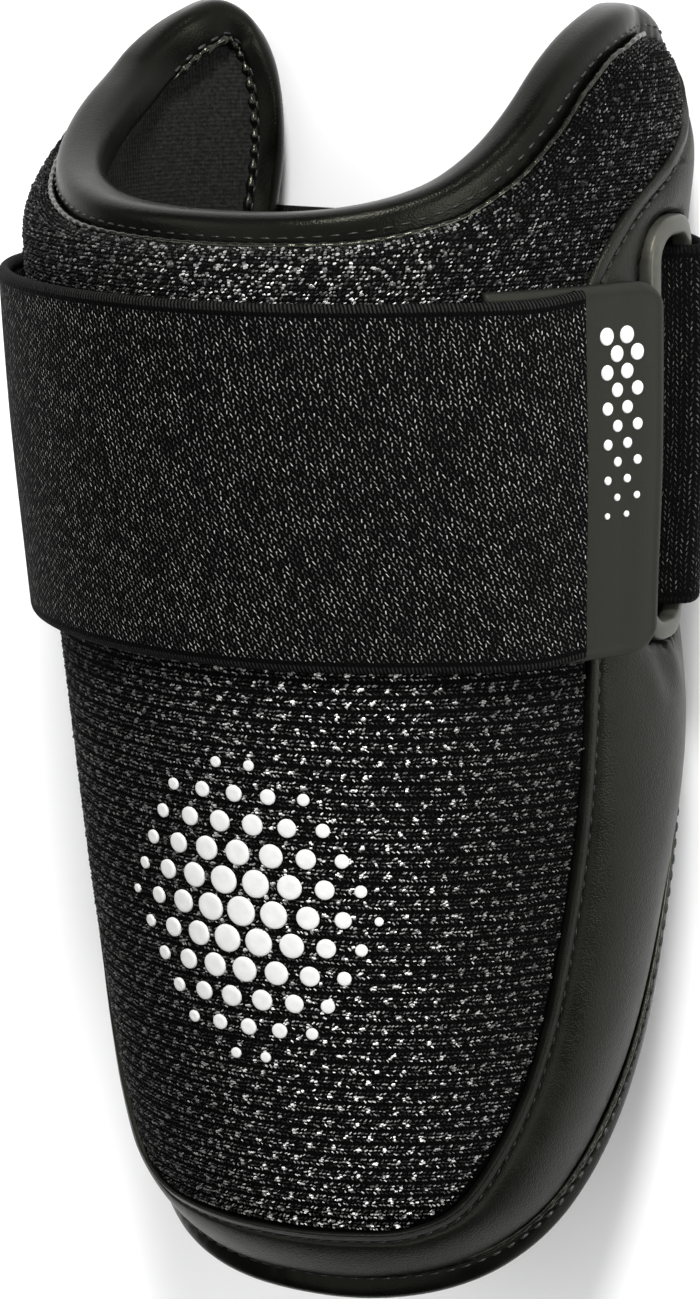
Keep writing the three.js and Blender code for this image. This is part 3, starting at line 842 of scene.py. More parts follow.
def mesh_pad():
    """The padded panel: columns from the seam up to the scooped end, with even rows that draw
    close on the round-over, and a dip that fades with the distance from the seam."""
    rib = np.linspace(-MESH_RIB, MESH_RIB, MESH_COLUMNS)
    top_phi = MESH_REACH * signed_power(rib / MESH_RIB, MESH_CROWDING)
    low = seam_place(rib, -SEAM_GAP / 2)
    high = np.column_stack([top_phi, mesh_end(top_phi)])
    length = high[:, 1] - low[:, 1]
    squeeze = np.minimum(1, length / SHORT_COLUMN)
    top = 1 - NEAR_MESH_END * (squeeze / length)[:, None]
    rows = np.concatenate([np.linspace(0, 1, MESH_ROWS)[:-1] * top[:, :1], top], axis=1)
    phi, y = rows_between(low, high, rows)
    from_seam = rows * length[:, None]
    off = mesh_face(phi, y) - KNIT_SINK - SEAM_DIP * np.exp(-from_seam / SEAM_DIP_REACH)
    points, faces = slab(shell(phi, y, off), shell(phi, y, PAD_INSIDE))
    piece = add_piece("mesh_pad", points, faces, MESH_GROUND)
    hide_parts("mesh_panel")


# The knit: rows round the arm, each of some lines of small loops, with clusters of shiny ones
# that are also painted brighter as glints
ROW_PITCH = 2.58
LINE_STEP = 0.7
LINE_STAGGER = 0.3
LOOP_PITCH = 0.74
CLUSTER_PITCH = 4.6
CLUSTER_COUNT = 4
CLUSTER_SPREAD = 0.24
CLUSTER_LEAN = 20
# How far chance moves loops along a line, and the share of that across it
SMALL_STREW = 0.11
CLUSTER_STREW = 0.2
STREW_ACROSS = 0.6
# How far round a line reaches, in degrees, and how clear it stays of the seam and the mesh's end
LINE_REACH = 118
LINE_CUT = 0.5
SEAM_CLEARANCE = 0.8
END_CLEARANCE = 1.5
# How much chance turns a loop, in degrees, and the share by which it changes its size
LEAN_STRAY = 12
SIZE_STRAY = 0.16
# Small steps round and along the arm that give the two ways of the face
STEP_ROUND = 0.2
STEP_ALONG = 0.05
# Kinds of loop: half length, half width and height, tip toward the scooped end with its stray, and
# the share of the front's painted sheen that is left away from it, with its reach in degrees
SMALL_KNIT = dict(size=(0.29, 0.15, 0.19), tip=0.55, stray=0.3, painted_sheen=(0.15, 30))
CLUSTER_KNIT = dict(size=(0.27, 0.2, 0.32), tip=0.7, stray=0.16, painted_sheen=(0.05, 20))
RIM_KNIT = dict(SMALL_KNIT, tip=0.3)
# Middle of the painted sheen, in degrees round from the front, where loops are painted lightest as if
# the lamps lit them there
PAINTED_SHEEN_MIDDLE = 22
# A glow is the least and the most brightness of a loop, painted into its colour as glints, and the
# power of the chance between them
OPEN_CLUSTER = (0.04, 1.9, 0.9)
CLOSE_CLUSTER = (0.02, 1.1, 2)
CLOSE_GLOW = (0.01, 1.5, 5.5)
RIM_GLOW = (0.01, 0.8, 4)
# columns: place in the row in line steps, lean in degrees, glow
OPEN_LINES = [
    (-1, -30, (0.012, 1.0, 3.8)),
    (0, 15, (0.012, 0.7, 4)),
    (1, 40, (0.012, 0.8, 3.8)),
]
CLOSE_LINES = [
    (-1.5, 40, CLOSE_GLOW),
    (-0.5, 30, CLOSE_GLOW),
    (0.5, 40, CLOSE_GLOW),
    (1.5, 30, CLOSE_GLOW),
]
# Lines down the round-over: their distances along it, lean, strewing along and across, and how
# far they stop from the ends of the mesh, in degrees
RIM_DEPTHS = np.arange(0.35, 3.2, 0.55)
RIM_LEAN = 30
RIM_STREW = 0.12
RIM_STREW_ACROSS = 0.03
RIM_MARGIN = 1
# Places along the arm between which each piece of knit lies, clear of the part under the strap
KNIT_START_Y = 13
KNIT_SPLIT_Y = 70
KNIT_STRAP_LOW_Y = 126
KNIT_STRAP_HIGH_Y = 182
KNIT_END_Y = 230


def knit_line(y, pitch, start, strew, low_y, high_y):
    """Places of loops along one line round the arm, a pitch apart and strewn by chance, kept
    inside the panel and between two places along the arm."""
    arc_phi = np.arange(-LINE_REACH, LINE_REACH + LINE_CUT, LINE_CUT)
    arc = line_length(shell(arc_phi, y, 0))
    places = np.arange((arc[-1] / 2 + start) % pitch, arc[-1], pitch)
    phi = np.interp(places + dice.normal(0, strew, len(places)), arc, arc_phi)
    height = y + dice.normal(0, strew * STREW_ACROSS, len(phi))
    limit = np.interp(y, RIBS[:, 3], RIBS[:, 2], left=0, right=RIBS[-1, 2])
    inside = np.abs(phi) < limit - SEAM_CLEARANCE / degree_length(phi, height)
    inside &= (height < mesh_end(phi) - END_CLEARANCE) & (height > low_y) & (height < high_y)
    return phi[inside], height[inside]


def knit_group(phi, y, lean, glow, size, tip, stray, painted_sheen):
    """Loops at places on the mesh: each leans in its face by lean degrees, has its half length,
    half width and height in size, and is tipped toward the scooped end by tip, more or less by
    chance. Its brightness, painted into its colour as glints, is the first of glow, and more by
    chance up to the second, to the power of the third; the chance part falls to a small share away
    from the front's painted sheen."""
    count = len(phi)
    low, high, power = glow
    least, reach = painted_sheen
    # Painted sheen: loops near the front get lighter colours, as if the lamps lit them there
    share = least + (1 - least) * ridge(phi, PAINTED_SHEEN_MIDDLE, 1, reach)
    painted_glint = low + (high - low) * share * dice.random(count) ** power
    off = mesh_face(phi, y) - KNIT_SINK
    centre = shell(phi, y, off)
    round_arm = unit(shell(phi + STEP_ROUND, y, off) - centre)
    below = y - STEP_ALONG
    along_arm = unit(centre - shell(phi, below, mesh_face(phi, below) - KNIT_SINK))
    up = unit(np.cross(along_arm, round_arm))
    up = up * np.sign(np.sum(up * outward(phi, y), -1, keepdims=True))
    turn = np.radians(lean + dice.normal(0, LEAN_STRAY, count))[:, None]
    along = round_arm * np.cos(turn) + along_arm * np.sin(turn)
    tip_up = dice.normal(tip, stray, (count, 1))
    tip_round = dice.normal(0, stray, (count, 1))
    up = unit(up + along_arm * tip_up + round_arm * tip_round)
    grown = np.array(size)[:, None] * (1 + dice.normal(0, SIZE_STRAY, count))
    return (*mounds(centre, along, up, *grown, MOUND, MOUND_FACES), painted_glint)


def knit_piece(name, parts):
    """Groups of loops as one piece, each loop with level faces and its own brightness, which is
    painted into its colour as a glint.
    """
    points, faces = joined([part[:2] for part in parts])
    painted_glint = np.repeat(np.concatenate([part[2] for part in parts]), len(MOUND))
    piece = add_piece(name, points, faces, KNIT, np.column_stack([painted_glint, painted_glint]))
    piece.data.polygons.foreach_set("use_smooth", np.zeros(len(piece.data.polygons), bool))


def knit_loops(name, low_y, high_y, lines, cluster_glow):
    """Loops of the mesh between two places along the arm: rows a pitch apart, each of some lines
    of small leaning loops, with clusters of shiny loops, also painted brighter as glints, set wide
    apart and staggered."""
    parts = []
    for number in range(int(low_y / ROW_PITCH), int(high_y / ROW_PITCH) + 2):
        middle = number * ROW_PITCH
        for line, lean, glow in lines:
            line_y = middle + line * LINE_STEP
            start = LINE_STAGGER * line
            phi, y = knit_line(line_y, LOOP_PITCH, start, SMALL_STREW, low_y, high_y)
            if len(phi):
                parts.append(knit_group(phi, y, lean, glow, **SMALL_KNIT))
        start = CLUSTER_PITCH / 2 * (number % 2)
        phi, y = knit_line(middle, CLUSTER_PITCH, start, CLUSTER_STREW, low_y, high_y)
        if len(phi):
            phi = np.repeat(phi, CLUSTER_COUNT)
            y = np.repeat(y, CLUSTER_COUNT)
            phi = phi + dice.normal(0, CLUSTER_SPREAD, len(phi)) / degree_length(phi, y)
            y = y + dice.normal(0, CLUSTER_SPREAD, len(y))
            parts.append(knit_group(phi, y, CLUSTER_LEAN, cluster_glow, **CLUSTER_KNIT))
    knit_piece(name, parts)


def knit_rim():
    """Lines of loops down the round-over to the roll, evenly spaced along its quarter ellipse:
    the distance below the end is the reach times one less the sine of the turn."""
    parts = []
    for depth in RIM_DEPTHS:
        turn = np.pi / 2 - depth / ROUND_OVER
        drop = ROUND_OVER_REACH * (1 - np.sin(turn))
        phi = np.arange(-MESH_REACH + RIM_MARGIN, MESH_REACH - RIM_MARGIN, LOOP_PITCH)
        phi = phi + dice.normal(0, RIM_STREW, len(phi))
        y = mesh_end(phi) - drop + dice.normal(0, RIM_STREW_ACROSS, len(phi))
        parts.append(knit_group(phi, y, RIM_LEAN, RIM_GLOW, **RIM_KNIT))
    knit_piece("knit_rim", parts)


# The leather border
LEATHER_COLUMNS = 451
CORNER_COLUMNS = 15
LEATHER_ROWS = 62
# Rows beside the seam, in widths of the folded strip, and beside the roll, in millimetres, both
# drawn closer in a short row
NEAR_SEAM = np.array([
    0, 0.06, 0.15, 0.32, 0.5, 0.66, 0.8, 0.92, 1.0, 1.08, 1.16, 1.26, 1.4, 1.6,
])
NEAR_ROLL = np.array([0, 0.3, 0.7, 1.3, 2.2])
SHORT_ROW = 8
LEAST_SLANT = 0.35
ROW_END = 0.01
# The folded strip's height at the seam and its fall across; places and widths beyond it are in
# widths of the strip
FOLD_HEIGHT = 0.95
FOLD_FALL = 0.5
GROOVE_DEPTH = 0.6
GROOVE_PLACE = 1.16
GROOVE_WIDTH = 0.17
SWELL_START = 1.4
SWELL_GAIN = 2.9
ROLL_DIP = 1.5
ROLL_DIP_REACH = 1.1
CORNER_RIBS = 0.85
CORNER_DROP = 4.4
# The window for the loop: where its surround starts, how far that reaches past the loop, the dip
# toward its lip, and how far from the outline points are drawn onto it
SURROUND_FRONT = 62
SURROUND_MARGIN = 14
LIP_DIP = 1.3
LIP_DIP_REACH = 3.2
LIP_REACH = 0.75
FOOT_REACH = 0.9
FOOT_INSET = 0.3
# Creases below the window: distance below the loop, reach across and up, height, and waves to the
# millimetre across and up
CREASE_BELOW = 7
CREASE_ACROSS = 8
CREASE_UP = 5
CREASE_HEIGHT = 0.4
CREASE_WAVES = (0.55, 0.3)


def leather_grid():
    """Places of the strip, in columns from the roll to the seam: rib numbers, and for each place
    its angle, its y, its distance from the seam in widths of the folded strip, its distance from
    the roll in millimetres, and its share of the way from the roll to the groove."""
    corner = np.linspace(MESH_RIB, LAST_RIB, CORNER_COLUMNS)[1:]
    rib = np.linspace(-MESH_RIB, MESH_RIB, LEATHER_COLUMNS)
    rib = np.concatenate([-corner[::-1], rib, corner])
    low = edge_place(rib, WALL_INSET)
    high = seam_place(rib, SEAM_GAP / 2)
    run = high - low

    def row_slope(share):
        """Millimetres across and up for one whole row, at a share of it."""
        place = low + run * share
        return np.stack([run[:, 0] * degree_length(place[:, 0], place[:, 1]), run[:, 1]], -1)

    seam_slope = row_slope(1 - ROW_END)
    seam_length = np.linalg.norm(seam_slope, axis=1)[:, None]
    edge_length = np.linalg.norm(row_slope(ROW_END), axis=1)[:, None]
    # Rows that meet the seam at a slant are stretched, so that the strip is as wide everywhere
    beyond = seam_place(rib, SEAM_GAP / 2 + 1) - high
    seam_out = np.stack([beyond[:, 0] * degree_length(high[:, 0], high[:, 1]), beyond[:, 1]], -1)
    slant = np.sum(-seam_slope / seam_length * seam_out, -1)
    strip = strip_at(np.abs(rib))[:, None] / np.clip(slant, LEAST_SLANT, 1)[:, None]
    squeeze = np.minimum(1, seam_length / SHORT_ROW)
    seam_rows = 1 - NEAR_SEAM[::-1] * strip * squeeze / seam_length
    edge_rows = NEAR_ROLL * squeeze / edge_length
    between = np.linspace(0, 1, LEATHER_ROWS)[1:-1]
    inner = edge_rows[:, -1:] + (seam_rows[:, :1] - edge_rows[:, -1:]) * between
    rows = np.concatenate([edge_rows, inner, seam_rows], axis=1)
    phi, y = rows_between(low, high, rows)
    from_seam = (1 - rows) * seam_length / strip
    from_roll = rows * edge_length
    swelling = np.clip(rows / (1 - SWELL_START * strip * squeeze / seam_length), 0, 1)
    return rib, phi, y, from_seam, from_roll, swelling


def leather_relief(rib, from_seam, from_roll, swelling):
    """Height of the strip: a fold beside the seam with round edges, a stitched groove, a swell
    that is a power of the way from the roll times a power of the way from the groove, a fall to
    the roll, and a quarter round down to the roll at the flaps' corners."""
    round_edges = np.clip(1 - ((from_seam - 0.5) / 0.5) ** 6, 0, 1) ** 0.6
    fold = (FOLD_HEIGHT - FOLD_FALL * from_seam) * round_edges
    groove = ridge(from_seam, GROOVE_PLACE, -GROOVE_DEPTH, GROOVE_WIDTH)
    puff = puff_at(np.abs(rib))[:, None]
    swell = puff * swelling ** 1.3 * (1 - swelling) ** 0.6 * SWELL_GAIN
    fall = -ROLL_DIP * np.exp(-from_roll / ROLL_DIP_REACH)
    from_end = np.clip((LAST_RIB - np.abs(rib)) / CORNER_RIBS, 0, 1)[:, None]
    return fold + groove + swell + fall - CORNER_DROP * quarter_round(from_end)


def window_cut(phi, y, off):
    """The strip with the loop's window cut in it: the face dips toward the window, the lip and the
    foot of its wall are drawn onto the loop's grown outline, and what is inside lies deep. Soft
    creases below it show where the strap draws the flap in."""
    distance, across, up, way = loop_distance(phi, y)
    distance = distance - WINDOW_GROWTH
    near = (phi > SURROUND_FRONT) & (np.abs(up) < LOOP_HALF_HEIGHT + SURROUND_MARGIN)
    off = off - np.where(near, LIP_DIP * np.exp(-np.maximum(distance, 0) / LIP_DIP_REACH), 0)
    lip = near & (distance >= 0) & (distance < LIP_REACH)
    foot = near & (distance < 0) & (distance > -FOOT_REACH)
    pull = np.where(lip, -distance, 0) + np.where(foot, -FOOT_INSET - distance, 0)
    phi = np.where(lip | foot, phi_from_loop(across + way[..., 0] * pull), phi)
    y = np.where(lip | foot, y + way[..., 1] * pull, y)
    off = np.where(near & (distance < 0), WINDOW_DEPTH, off)
    below = (up + LOOP_HALF_HEIGHT + CREASE_BELOW) / CREASE_UP
    crease = np.exp(-below ** 2 - (across / CREASE_ACROSS) ** 2)
    wave = np.sin(across * CREASE_WAVES[0] + up * CREASE_WAVES[1])
    return phi, y, off + np.where(near, CREASE_HEIGHT * crease * wave, 0)


def leather_pad():
    """The padded strip between the seam and the rolled edge, with a window for the loop."""
    rib, phi, y, from_seam, from_roll, swelling = leather_grid()
    off = leather_relief(rib, from_seam, from_roll, swelling)
    phi, y, off = window_cut(phi, y, off)
    points, faces = slab(shell(phi, y, off), shell(phi, y, PAD_INSIDE))
    piece = add_piece("leather_pad", points, faces, LEATHER)
    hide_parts("leather_border")


# Stitches as pitch, length, width and height; the seam's lie in the groove beside the strip
STITCH_PITCH = 3.0
SEAM_STITCH = (2.9, 2.3, 0.75, 0.6)
EDGE_STITCH = (STITCH_PITCH, 2.2, 0.6, 0.36)
SCOOP_STITCH = (STITCH_PITCH, 2.1, 0.55, 0.3)
FLAP_STITCH = (3.2, 2.4, 0.6, 0.34)
BAND_STITCH = (1.7, 1.35, 0.6, 0.4)
SEAM_STITCH_PLACE = 1.14
SEAM_STITCH_DEPTH = 0.45
SEAM_STITCH_CUTS = 900


def seam_stitches():
    """Dark stitches in the groove beside the folded strip, all along the seam."""
    rib = np.linspace(-MESH_RIB, MESH_RIB, SEAM_STITCH_CUTS)
    place = seam_place(rib, SEAM_GAP / 2 + SEAM_STITCH_PLACE * strip_at(np.abs(rib)))
    points = shell(place[:, 0], place[:, 1], -SEAM_STITCH_DEPTH)
    return [stitch_row(points, outward(place[:, 0], place[:, 1]), *SEAM_STITCH)]


# The rolled edge
ROLL_STEPS = 1000
ROLL_SIDES = 40
ROLL_BLUR = 7
# Powers of the section's rounded box, on the wall's side and away from it
WALL_SIDE_POWER = 0.4
FREE_SIDE_POWER = 0.66
# Beside the leather's swell the roll is fatter; it grows and shrinks over some ribs, and is back
# to its own width at the last of them
ROLL_FAT = 0.7
FAT_GROWS = 2
FAT_SHRINKS = 1.5
FAT_END_RIB = 8.5
# Gathers at the stitches, and wrinkles along the flaps' back edges
GATHER = 0.1
GATHER_TURN = 0.6
GATHER_REACH = 0.5
WRINKLE = 0.28
BACK_EDGE_PHI = 134
BACK_EDGE_REACH = 5
FLAP_PHI = 100
# Turns round the section, in degrees from the way out of the face, of the pipings and the stitches
PIPING_TURN = 47
WELT_TURN = 133
EDGE_STITCH_TURN = 16
SCOOP_STITCH_TURN = 0
FLAP_STITCH_TURN = 158
# The pipings: height over the roll, radius and pucker of each, and how they taper to their ends
PIPING_RISE = 0.25
PIPING = (0.62, 0.12)
MESH_PIPING = (0.6, 0.08)
WELT = (0.8, 0.22)
WELT_PITCH = 3.4
MESH_PIPING_CUTS = 400
MESH_PIPING_PAST = 0.3
MESH_PIPING_SINK = 0.4
MESH_PIPING_TAPER = 2
WELT_TAPER = 3
LEAST_TAPER = 0.02
CORD_SIDES = 8


def softened(values):
    """Values round the closed roll, each the mean of its neighbours, so that no kink is left where
    the shell's front and rear halves meet."""
    shifts = range(-ROLL_BLUR, ROLL_BLUR + 1)
    return sum(np.roll(values, shift, axis=0) for shift in shifts) / len(shifts)


def roll_frame():
    """The rolled edge's middle line with the ways out of the face and into the wall along it."""
    number = np.linspace(0, EDGE_COUNT, ROLL_STEPS + 1)[:-1]
    place = edge_place(number, 0)
    middle = softened(shell(place[:, 0], place[:, 1], edge_value(number, 3)))
    along = unit(np.roll(middle, -1, axis=0) - np.roll(middle, 1, axis=0))
    inward = unit(np.cross(softened(outward(place[:, 0], place[:, 1])), along))
    face = unit(np.cross(along, inward))
    return number, middle, along, face, inward


roll_number, roll_middle, roll_along, roll_face, roll_inward = roll_frame()
roll_length = line_length(roll_middle)
roll_phi = edge_place(roll_number, 0)[:, 0]
roll_rib = np.minimum(roll_number, EDGE_COUNT - roll_number)
on_scoop = roll_rib > LAST_RIB
fat_start = np.clip(roll_rib / FAT_GROWS, 0, 1)
fat_end = np.clip((FAT_END_RIB - roll_rib) / FAT_SHRINKS, 0, 1)
roll_half_width = softened(edge_value(roll_number, 4) + ROLL_FAT * fat_start * fat_end)
roll_half_height = softened(edge_value(roll_number, 2))


def roll_section(turn, half_width, half_height):
    """A point of the section: a rounded box, rounder on the side away from the wall, each side a
    cosine and a sine to a power."""
    power = np.where(np.sin(turn) > 0, WALL_SIDE_POWER, FREE_SIDE_POWER)
    wide = half_width * signed_power(np.cos(turn), power)
    high = half_height * signed_power(np.sin(turn), power)
    return wide, high


def roll_at(turn, growth):
    """A line along the roll at a turn round its section, raised by growth."""
    wide, high = roll_section(np.radians(turn), roll_half_width + growth, roll_half_height + growth)
    offset = roll_face * wide[:, None] + roll_inward * high[:, None]
    return roll_middle + offset / 1000, unit(offset)


def edge_roll():
    """The roll: its section carried round the edge, gathered a little at each stitch and softly
    wrinkled along the back edges by two slanting waves."""
    turn = np.linspace(0, 2 * np.pi, ROLL_SIDES + 1)[:-1][None]
    length = roll_length[:, None]
    at_stitches = ridge(turn, GATHER_TURN, 1, GATHER_REACH)
    gathered = GATHER * np.cos(2 * np.pi * length / STITCH_PITCH) * at_stitches
    back = ridge(np.abs(roll_phi), BACK_EDGE_PHI, 1, BACK_EDGE_REACH)[:, None]
    short_wave = np.sin(length / 3.1 + 1.3 * turn)
    long_wave = 0.7 * np.sin(length / 5.3 - 2 * turn + 1)
    inner_side = np.clip(0.2 - np.cos(turn), 0, 1)
    wrinkle = WRINKLE * back * (short_wave + long_wave) * inner_side
    half_width = roll_half_width[:, None] + gathered + wrinkle
    wide, high = roll_section(turn, half_width, roll_half_height[:, None] + gathered)
    offset = roll_face[:, None] * wide[..., None] + roll_inward[:, None] * high[..., None]
    points = roll_middle[:, None] + offset / 1000
    faces = grid_faces(ROLL_STEPS, ROLL_SIDES, 0, True, True)
    piece = add_piece("edge_roll", points.reshape(-1, 3), faces, ROLL_LEATHER)
    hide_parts("edge_binding")


def flap_runs():
    """Which steps of the roll run along the right flap's back edge, and which along the left's."""
    on_flap = np.abs(roll_phi) > FLAP_PHI
    on_right = roll_number < EDGE_COUNT / 2
    return on_flap & on_right, on_flap & ~on_right


def puckered(length, shape, pitch):
    """A cord's radius along its length: its mean, and its pucker as a cosine once to each pitch."""
    radius, pucker = shape
    return radius + pucker * np.cos(2 * np.pi * length / pitch)


def cord_part(line, along, up, radius, closed):
    """A round cord as points and faces: a circle in the plane across each point of a line."""
    turn = np.linspace(0, 2 * np.pi, CORD_SIDES + 1)[:-1]
    side = np.cross(along, up)
    ways = up[:, None] * np.cos(turn)[None, :, None] + side[:, None] * np.sin(turn)[None, :, None]
    points = line[:, None] + (radius / 1000)[:, None, None] * ways
    return points.reshape(-1, 3), grid_faces(len(line), CORD_SIDES, 0, closed, True)


def mesh_piping():
    """The piping along the mesh's end, below the scooped end's roll."""
    phi = np.linspace(-MESH_REACH, MESH_REACH, MESH_PIPING_CUTS)
    y = mesh_end(phi) + MESH_PIPING_PAST
    line = shell(phi, y, -ROUND_OVER - MESH_PIPING_SINK)
    along = unit(np.gradient(line, axis=0))
    up = outward(phi, y)
    up = unit(up - np.sum(up * along, -1, keepdims=True) * along)
    ends = np.clip((MESH_REACH - np.abs(phi)) / MESH_PIPING_TAPER, LEAST_TAPER, 1)
    radius = puckered(line_length(line), MESH_PIPING, STITCH_PITCH) * ends
    return cord_part(line, along, up, radius, False)


def flap_welts():
    """The puckered pipings inside the flaps' back edges."""
    line, up = roll_at(WELT_TURN, PIPING_RISE)
    parts = []
    for run in flap_runs():
        length = roll_length[run] - roll_length[run][0]
        ends = np.clip(np.minimum(length, length[-1] - length) / WELT_TAPER, LEAST_TAPER, 1)
        radius = puckered(length, WELT, WELT_PITCH) * ends
        parts.append(cord_part(line[run], roll_along[run], up[run], radius, False))
    return parts


def seam_piping():
    """A thin round piping in the seam between the roll and the wall, all the way round, one along
    the mesh's end below the scooped end's roll, and puckered ones inside the flaps' back edges."""
    line, up = roll_at(PIPING_TURN, PIPING_RISE)
    radius = puckered(roll_length, PIPING, STITCH_PITCH)
    outer = cord_part(line, roll_along, up, radius, True)
    parts = [outer, mesh_piping()] + flap_welts()
    piece = add_piece("seam_piping", *joined(parts), PIPING_LEATHER)


def roll_stitches():
    """Stitches along the roll: beside the piping outside, and along the flaps' back edges inside."""
    line, up = roll_at(EDGE_STITCH_TURN, 0.0)
    first = roll_number <= LAST_RIB
    last = roll_number >= EDGE_COUNT - LAST_RIB
    line = np.concatenate([line[last], line[first]])
    up = np.concatenate([up[last], up[first]])
    parts = [stitch_row(line, up, *EDGE_STITCH)]
    line, up = roll_at(SCOOP_STITCH_TURN, 0.0)
    parts.append(stitch_row(line[on_scoop], up[on_scoop], *SCOOP_STITCH))
    line, up = roll_at(FLAP_STITCH_TURN, 0.0)
    for run in flap_runs():
        parts.append(stitch_row(line[run], up[run], *FLAP_STITCH))
    return parts


# The lining
LINING_COLUMNS = 141
LINING_ROWS = 61
LINING_CROWDING = 1.1
LINING_INSET = WALL_INSET + 0.5
LINING_END_GAP = 0.4
LINING_SWELL = 0.25
# Millimetres of cloth to a degree round the lining
LINING_DEGREE = 0.85


def lining_pad():
    """The inner layer from one rolled edge to the other, swollen softly by two crossed waves."""
    share = np.linspace(-1, 1, LINING_COLUMNS)
    top_phi = FLAP_END * signed_power(share, LINING_CROWDING)
    low = edge_place(LAST_RIB * share, LINING_INSET)
    high = np.column_stack([top_phi, scoop_end(top_phi) - LINING_END_GAP])
    phi, y = rows_between(low, high, np.linspace(0, 1, LINING_ROWS)[None])
    soft = LINING_SWELL * np.sin(phi / 7 + y / 23) * np.sin(y / 17 - phi / 31)
    points, faces = slab(shell(phi, y, LINING_OUTSIDE), shell(phi, y, LINING_INSIDE + soft))
    uv = np.stack([phi * LINING_DEGREE, y], -1).reshape(-1, 2)
    piece = add_piece("lining_pad", points, faces, LINING, np.concatenate([uv, uv]))
    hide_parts("lining")


# The loop
LOOP_SIDES = 20
LOOP_POWER = 0.55
LOOP_CORNER_STEPS = 10
LOOP_CUTS = 4


def loop_outline(growth):
    """The loop's outline, grown: four quarter circles, as places across and up from its middle."""
    turn = np.linspace(0, 360, 4 * LOOP_CORNER_STEPS + 1)[:-1]
    corner = (turn // 90).astype(int)
    x = np.array([1, -1, -1, 1])[corner] * (LOOP_HALF_WIDTH - LOOP_CORNER)
    y = np.array([1, 1, -1, -1])[corner] * (LOOP_HALF_HEIGHT - LOOP_CORNER)
    eased = np.radians(corner * 90 + (turn % 90) * 90 / (90 - 90 / LOOP_CORNER_STEPS))
    radius = LOOP_CORNER + growth
    return np.column_stack([x + radius * np.cos(eased), y + radius * np.sin(eased)])


def loop_ring():
    """The plastic loop: a rounded flat section carried round the outline, with each step of the
    outline cut into more, so that the long sides follow the flap."""
    turn = np.linspace(0, 2 * np.pi, LOOP_SIDES + 1)[:-1]
    grown = LOOP_BAND * signed_power(np.cos(turn), LOOP_POWER)
    middle = (LOOP_INSIDE + LOOP_OUTSIDE) / 2
    half = (LOOP_OUTSIDE - LOOP_INSIDE) / 2
    off = middle + half * signed_power(np.sin(turn), LOOP_POWER)
    lines = []
    for growth in grown:
        line = loop_outline(growth)
        numbers = np.linspace(0, len(line), LOOP_CUTS * len(line) + 1)[:-1]
        lines.append(along_line(np.concatenate([line, line[:1]]), numbers))
    outline = np.stack(lines, 1)
    points = shell(phi_from_loop(outline[..., 0]), LOOP_MIDDLE_Y + outline[..., 1], off[None])
    faces = grid_faces(len(outline), len(turn), 0, True, True)
    piece = add_piece("loop_ring", points.reshape(-1, 3), faces, PLASTIC)
    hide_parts("slot_frame")


# The strap
STRAP_STEPS = 520
STRAP_INNER_ROWS = 30
STRAP_STEP = 0.05
STRAP_FLOOR = (STRAP_FLAT_Z - FRAME_SHIFT[2]) / 1000
# The angle from which the strap rises toward the loop's height, and over how many degrees
RISE_ON_RIGHT = (60, 30)
RISE_ON_LEFT = (90, 40)
# Rows beside each selvedge, in millimetres, and where the even rows between them start
NEAR_SELVEDGE = np.array([0, 0.12, 0.35, 0.7, 1.2, 1.7, 2.1, 2.5, 3.0, 3.5, 4.0, 4.6])
INNER_START = 6
SELVEDGE_ROUND = 1.2
SELVEDGE_THIN = 0.97
# columns: millimetres in from the selvedge, height and width of each groove and bead along it
HEM_LINES = np.array([[2.1, -0.22, 0.3], [1.2, 0.06, 0.4], [4.0, -0.16, 0.3]])
# The groove pressed across the free end, in the same columns
END_LINE = (2.4, -0.25, 0.4)


def rise_behind(phi):
    """How much higher the strap lies behind the arm than in front."""
    on_right = (np.abs(phi) - RISE_ON_RIGHT[0]) / RISE_ON_RIGHT[1]
    on_left = (np.abs(phi) - RISE_ON_LEFT[0]) / RISE_ON_LEFT[1]
    return STRAP_RISE_AT_LOOP * np.clip(np.where(phi > 0, on_right, on_left), 0, 1)


def strap_line(share):
    """The strap's middle line in metres at one share of its width: up through the loop, over the
    right flap, flat behind, and round the left side to the front."""
    low = STRAP_LOW_Y + STRAP_WIDTH * share
    at_loop = np.column_stack([phi_from_loop(STRAP_AT_LOOP[:, 0]), STRAP_AT_LOOP[:, 1]])
    first = np.concatenate([at_loop, STRAP_ON_RIGHT])
    right = shell(first[:, 0], low + rise_behind(first[:, 0]), first[:, 1])
    left = shell(STRAP_ON_LEFT[:, 0], low + rise_behind(STRAP_ON_LEFT[:, 0]), STRAP_ON_LEFT[:, 1])
    flat = right[-1] + (left[0] - right[-1]) * STRAP_FLAT_SHARES[:, None]
    flat[:, 2] = STRAP_FLOOR
    points = np.concatenate([right, flat, left])
    return smooth_line(points, False), len(points)


def strap_lines(shares, steps):
    """The strap's middle lines across its width, at even steps of their numbers, with the way out
    of its face."""
    lines = []
    faces = []
    for share in shares:
        line, count = strap_line(share)
        number = np.linspace(0, count - 1, steps)

        def at(n):
            points = line(n)
            points[:, 2] = np.maximum(points[:, 2], STRAP_FLOOR)
            return points

        ahead = at(np.minimum(number + STRAP_STEP, count - 1))
        behind = at(np.maximum(number - STRAP_STEP, 0))
        lines.append(at(number))
        faces.append(unit(np.cross(np.array([0.0, 1.0, 0.0]), ahead - behind)))
    return np.stack(lines, 1), np.stack(faces, 1)


strap_shares = np.concatenate([
    NEAR_SELVEDGE / STRAP_WIDTH,
    np.linspace(INNER_START, STRAP_WIDTH - INNER_START, STRAP_INNER_ROWS) / STRAP_WIDTH,
    1 - NEAR_SELVEDGE[::-1] / STRAP_WIDTH,
])
strap_middle, strap_out = strap_lines(strap_shares, STRAP_STEPS)
strap_steps = np.linalg.norm(np.diff(strap_middle, axis=0), axis=2)
strap_start = np.zeros((1, len(strap_shares)))
strap_length = np.concatenate([strap_start, np.cumsum(strap_steps, axis=0)]) * 1000
STRAP_FLAT_LENGTH = float(strap_length[-1].mean())


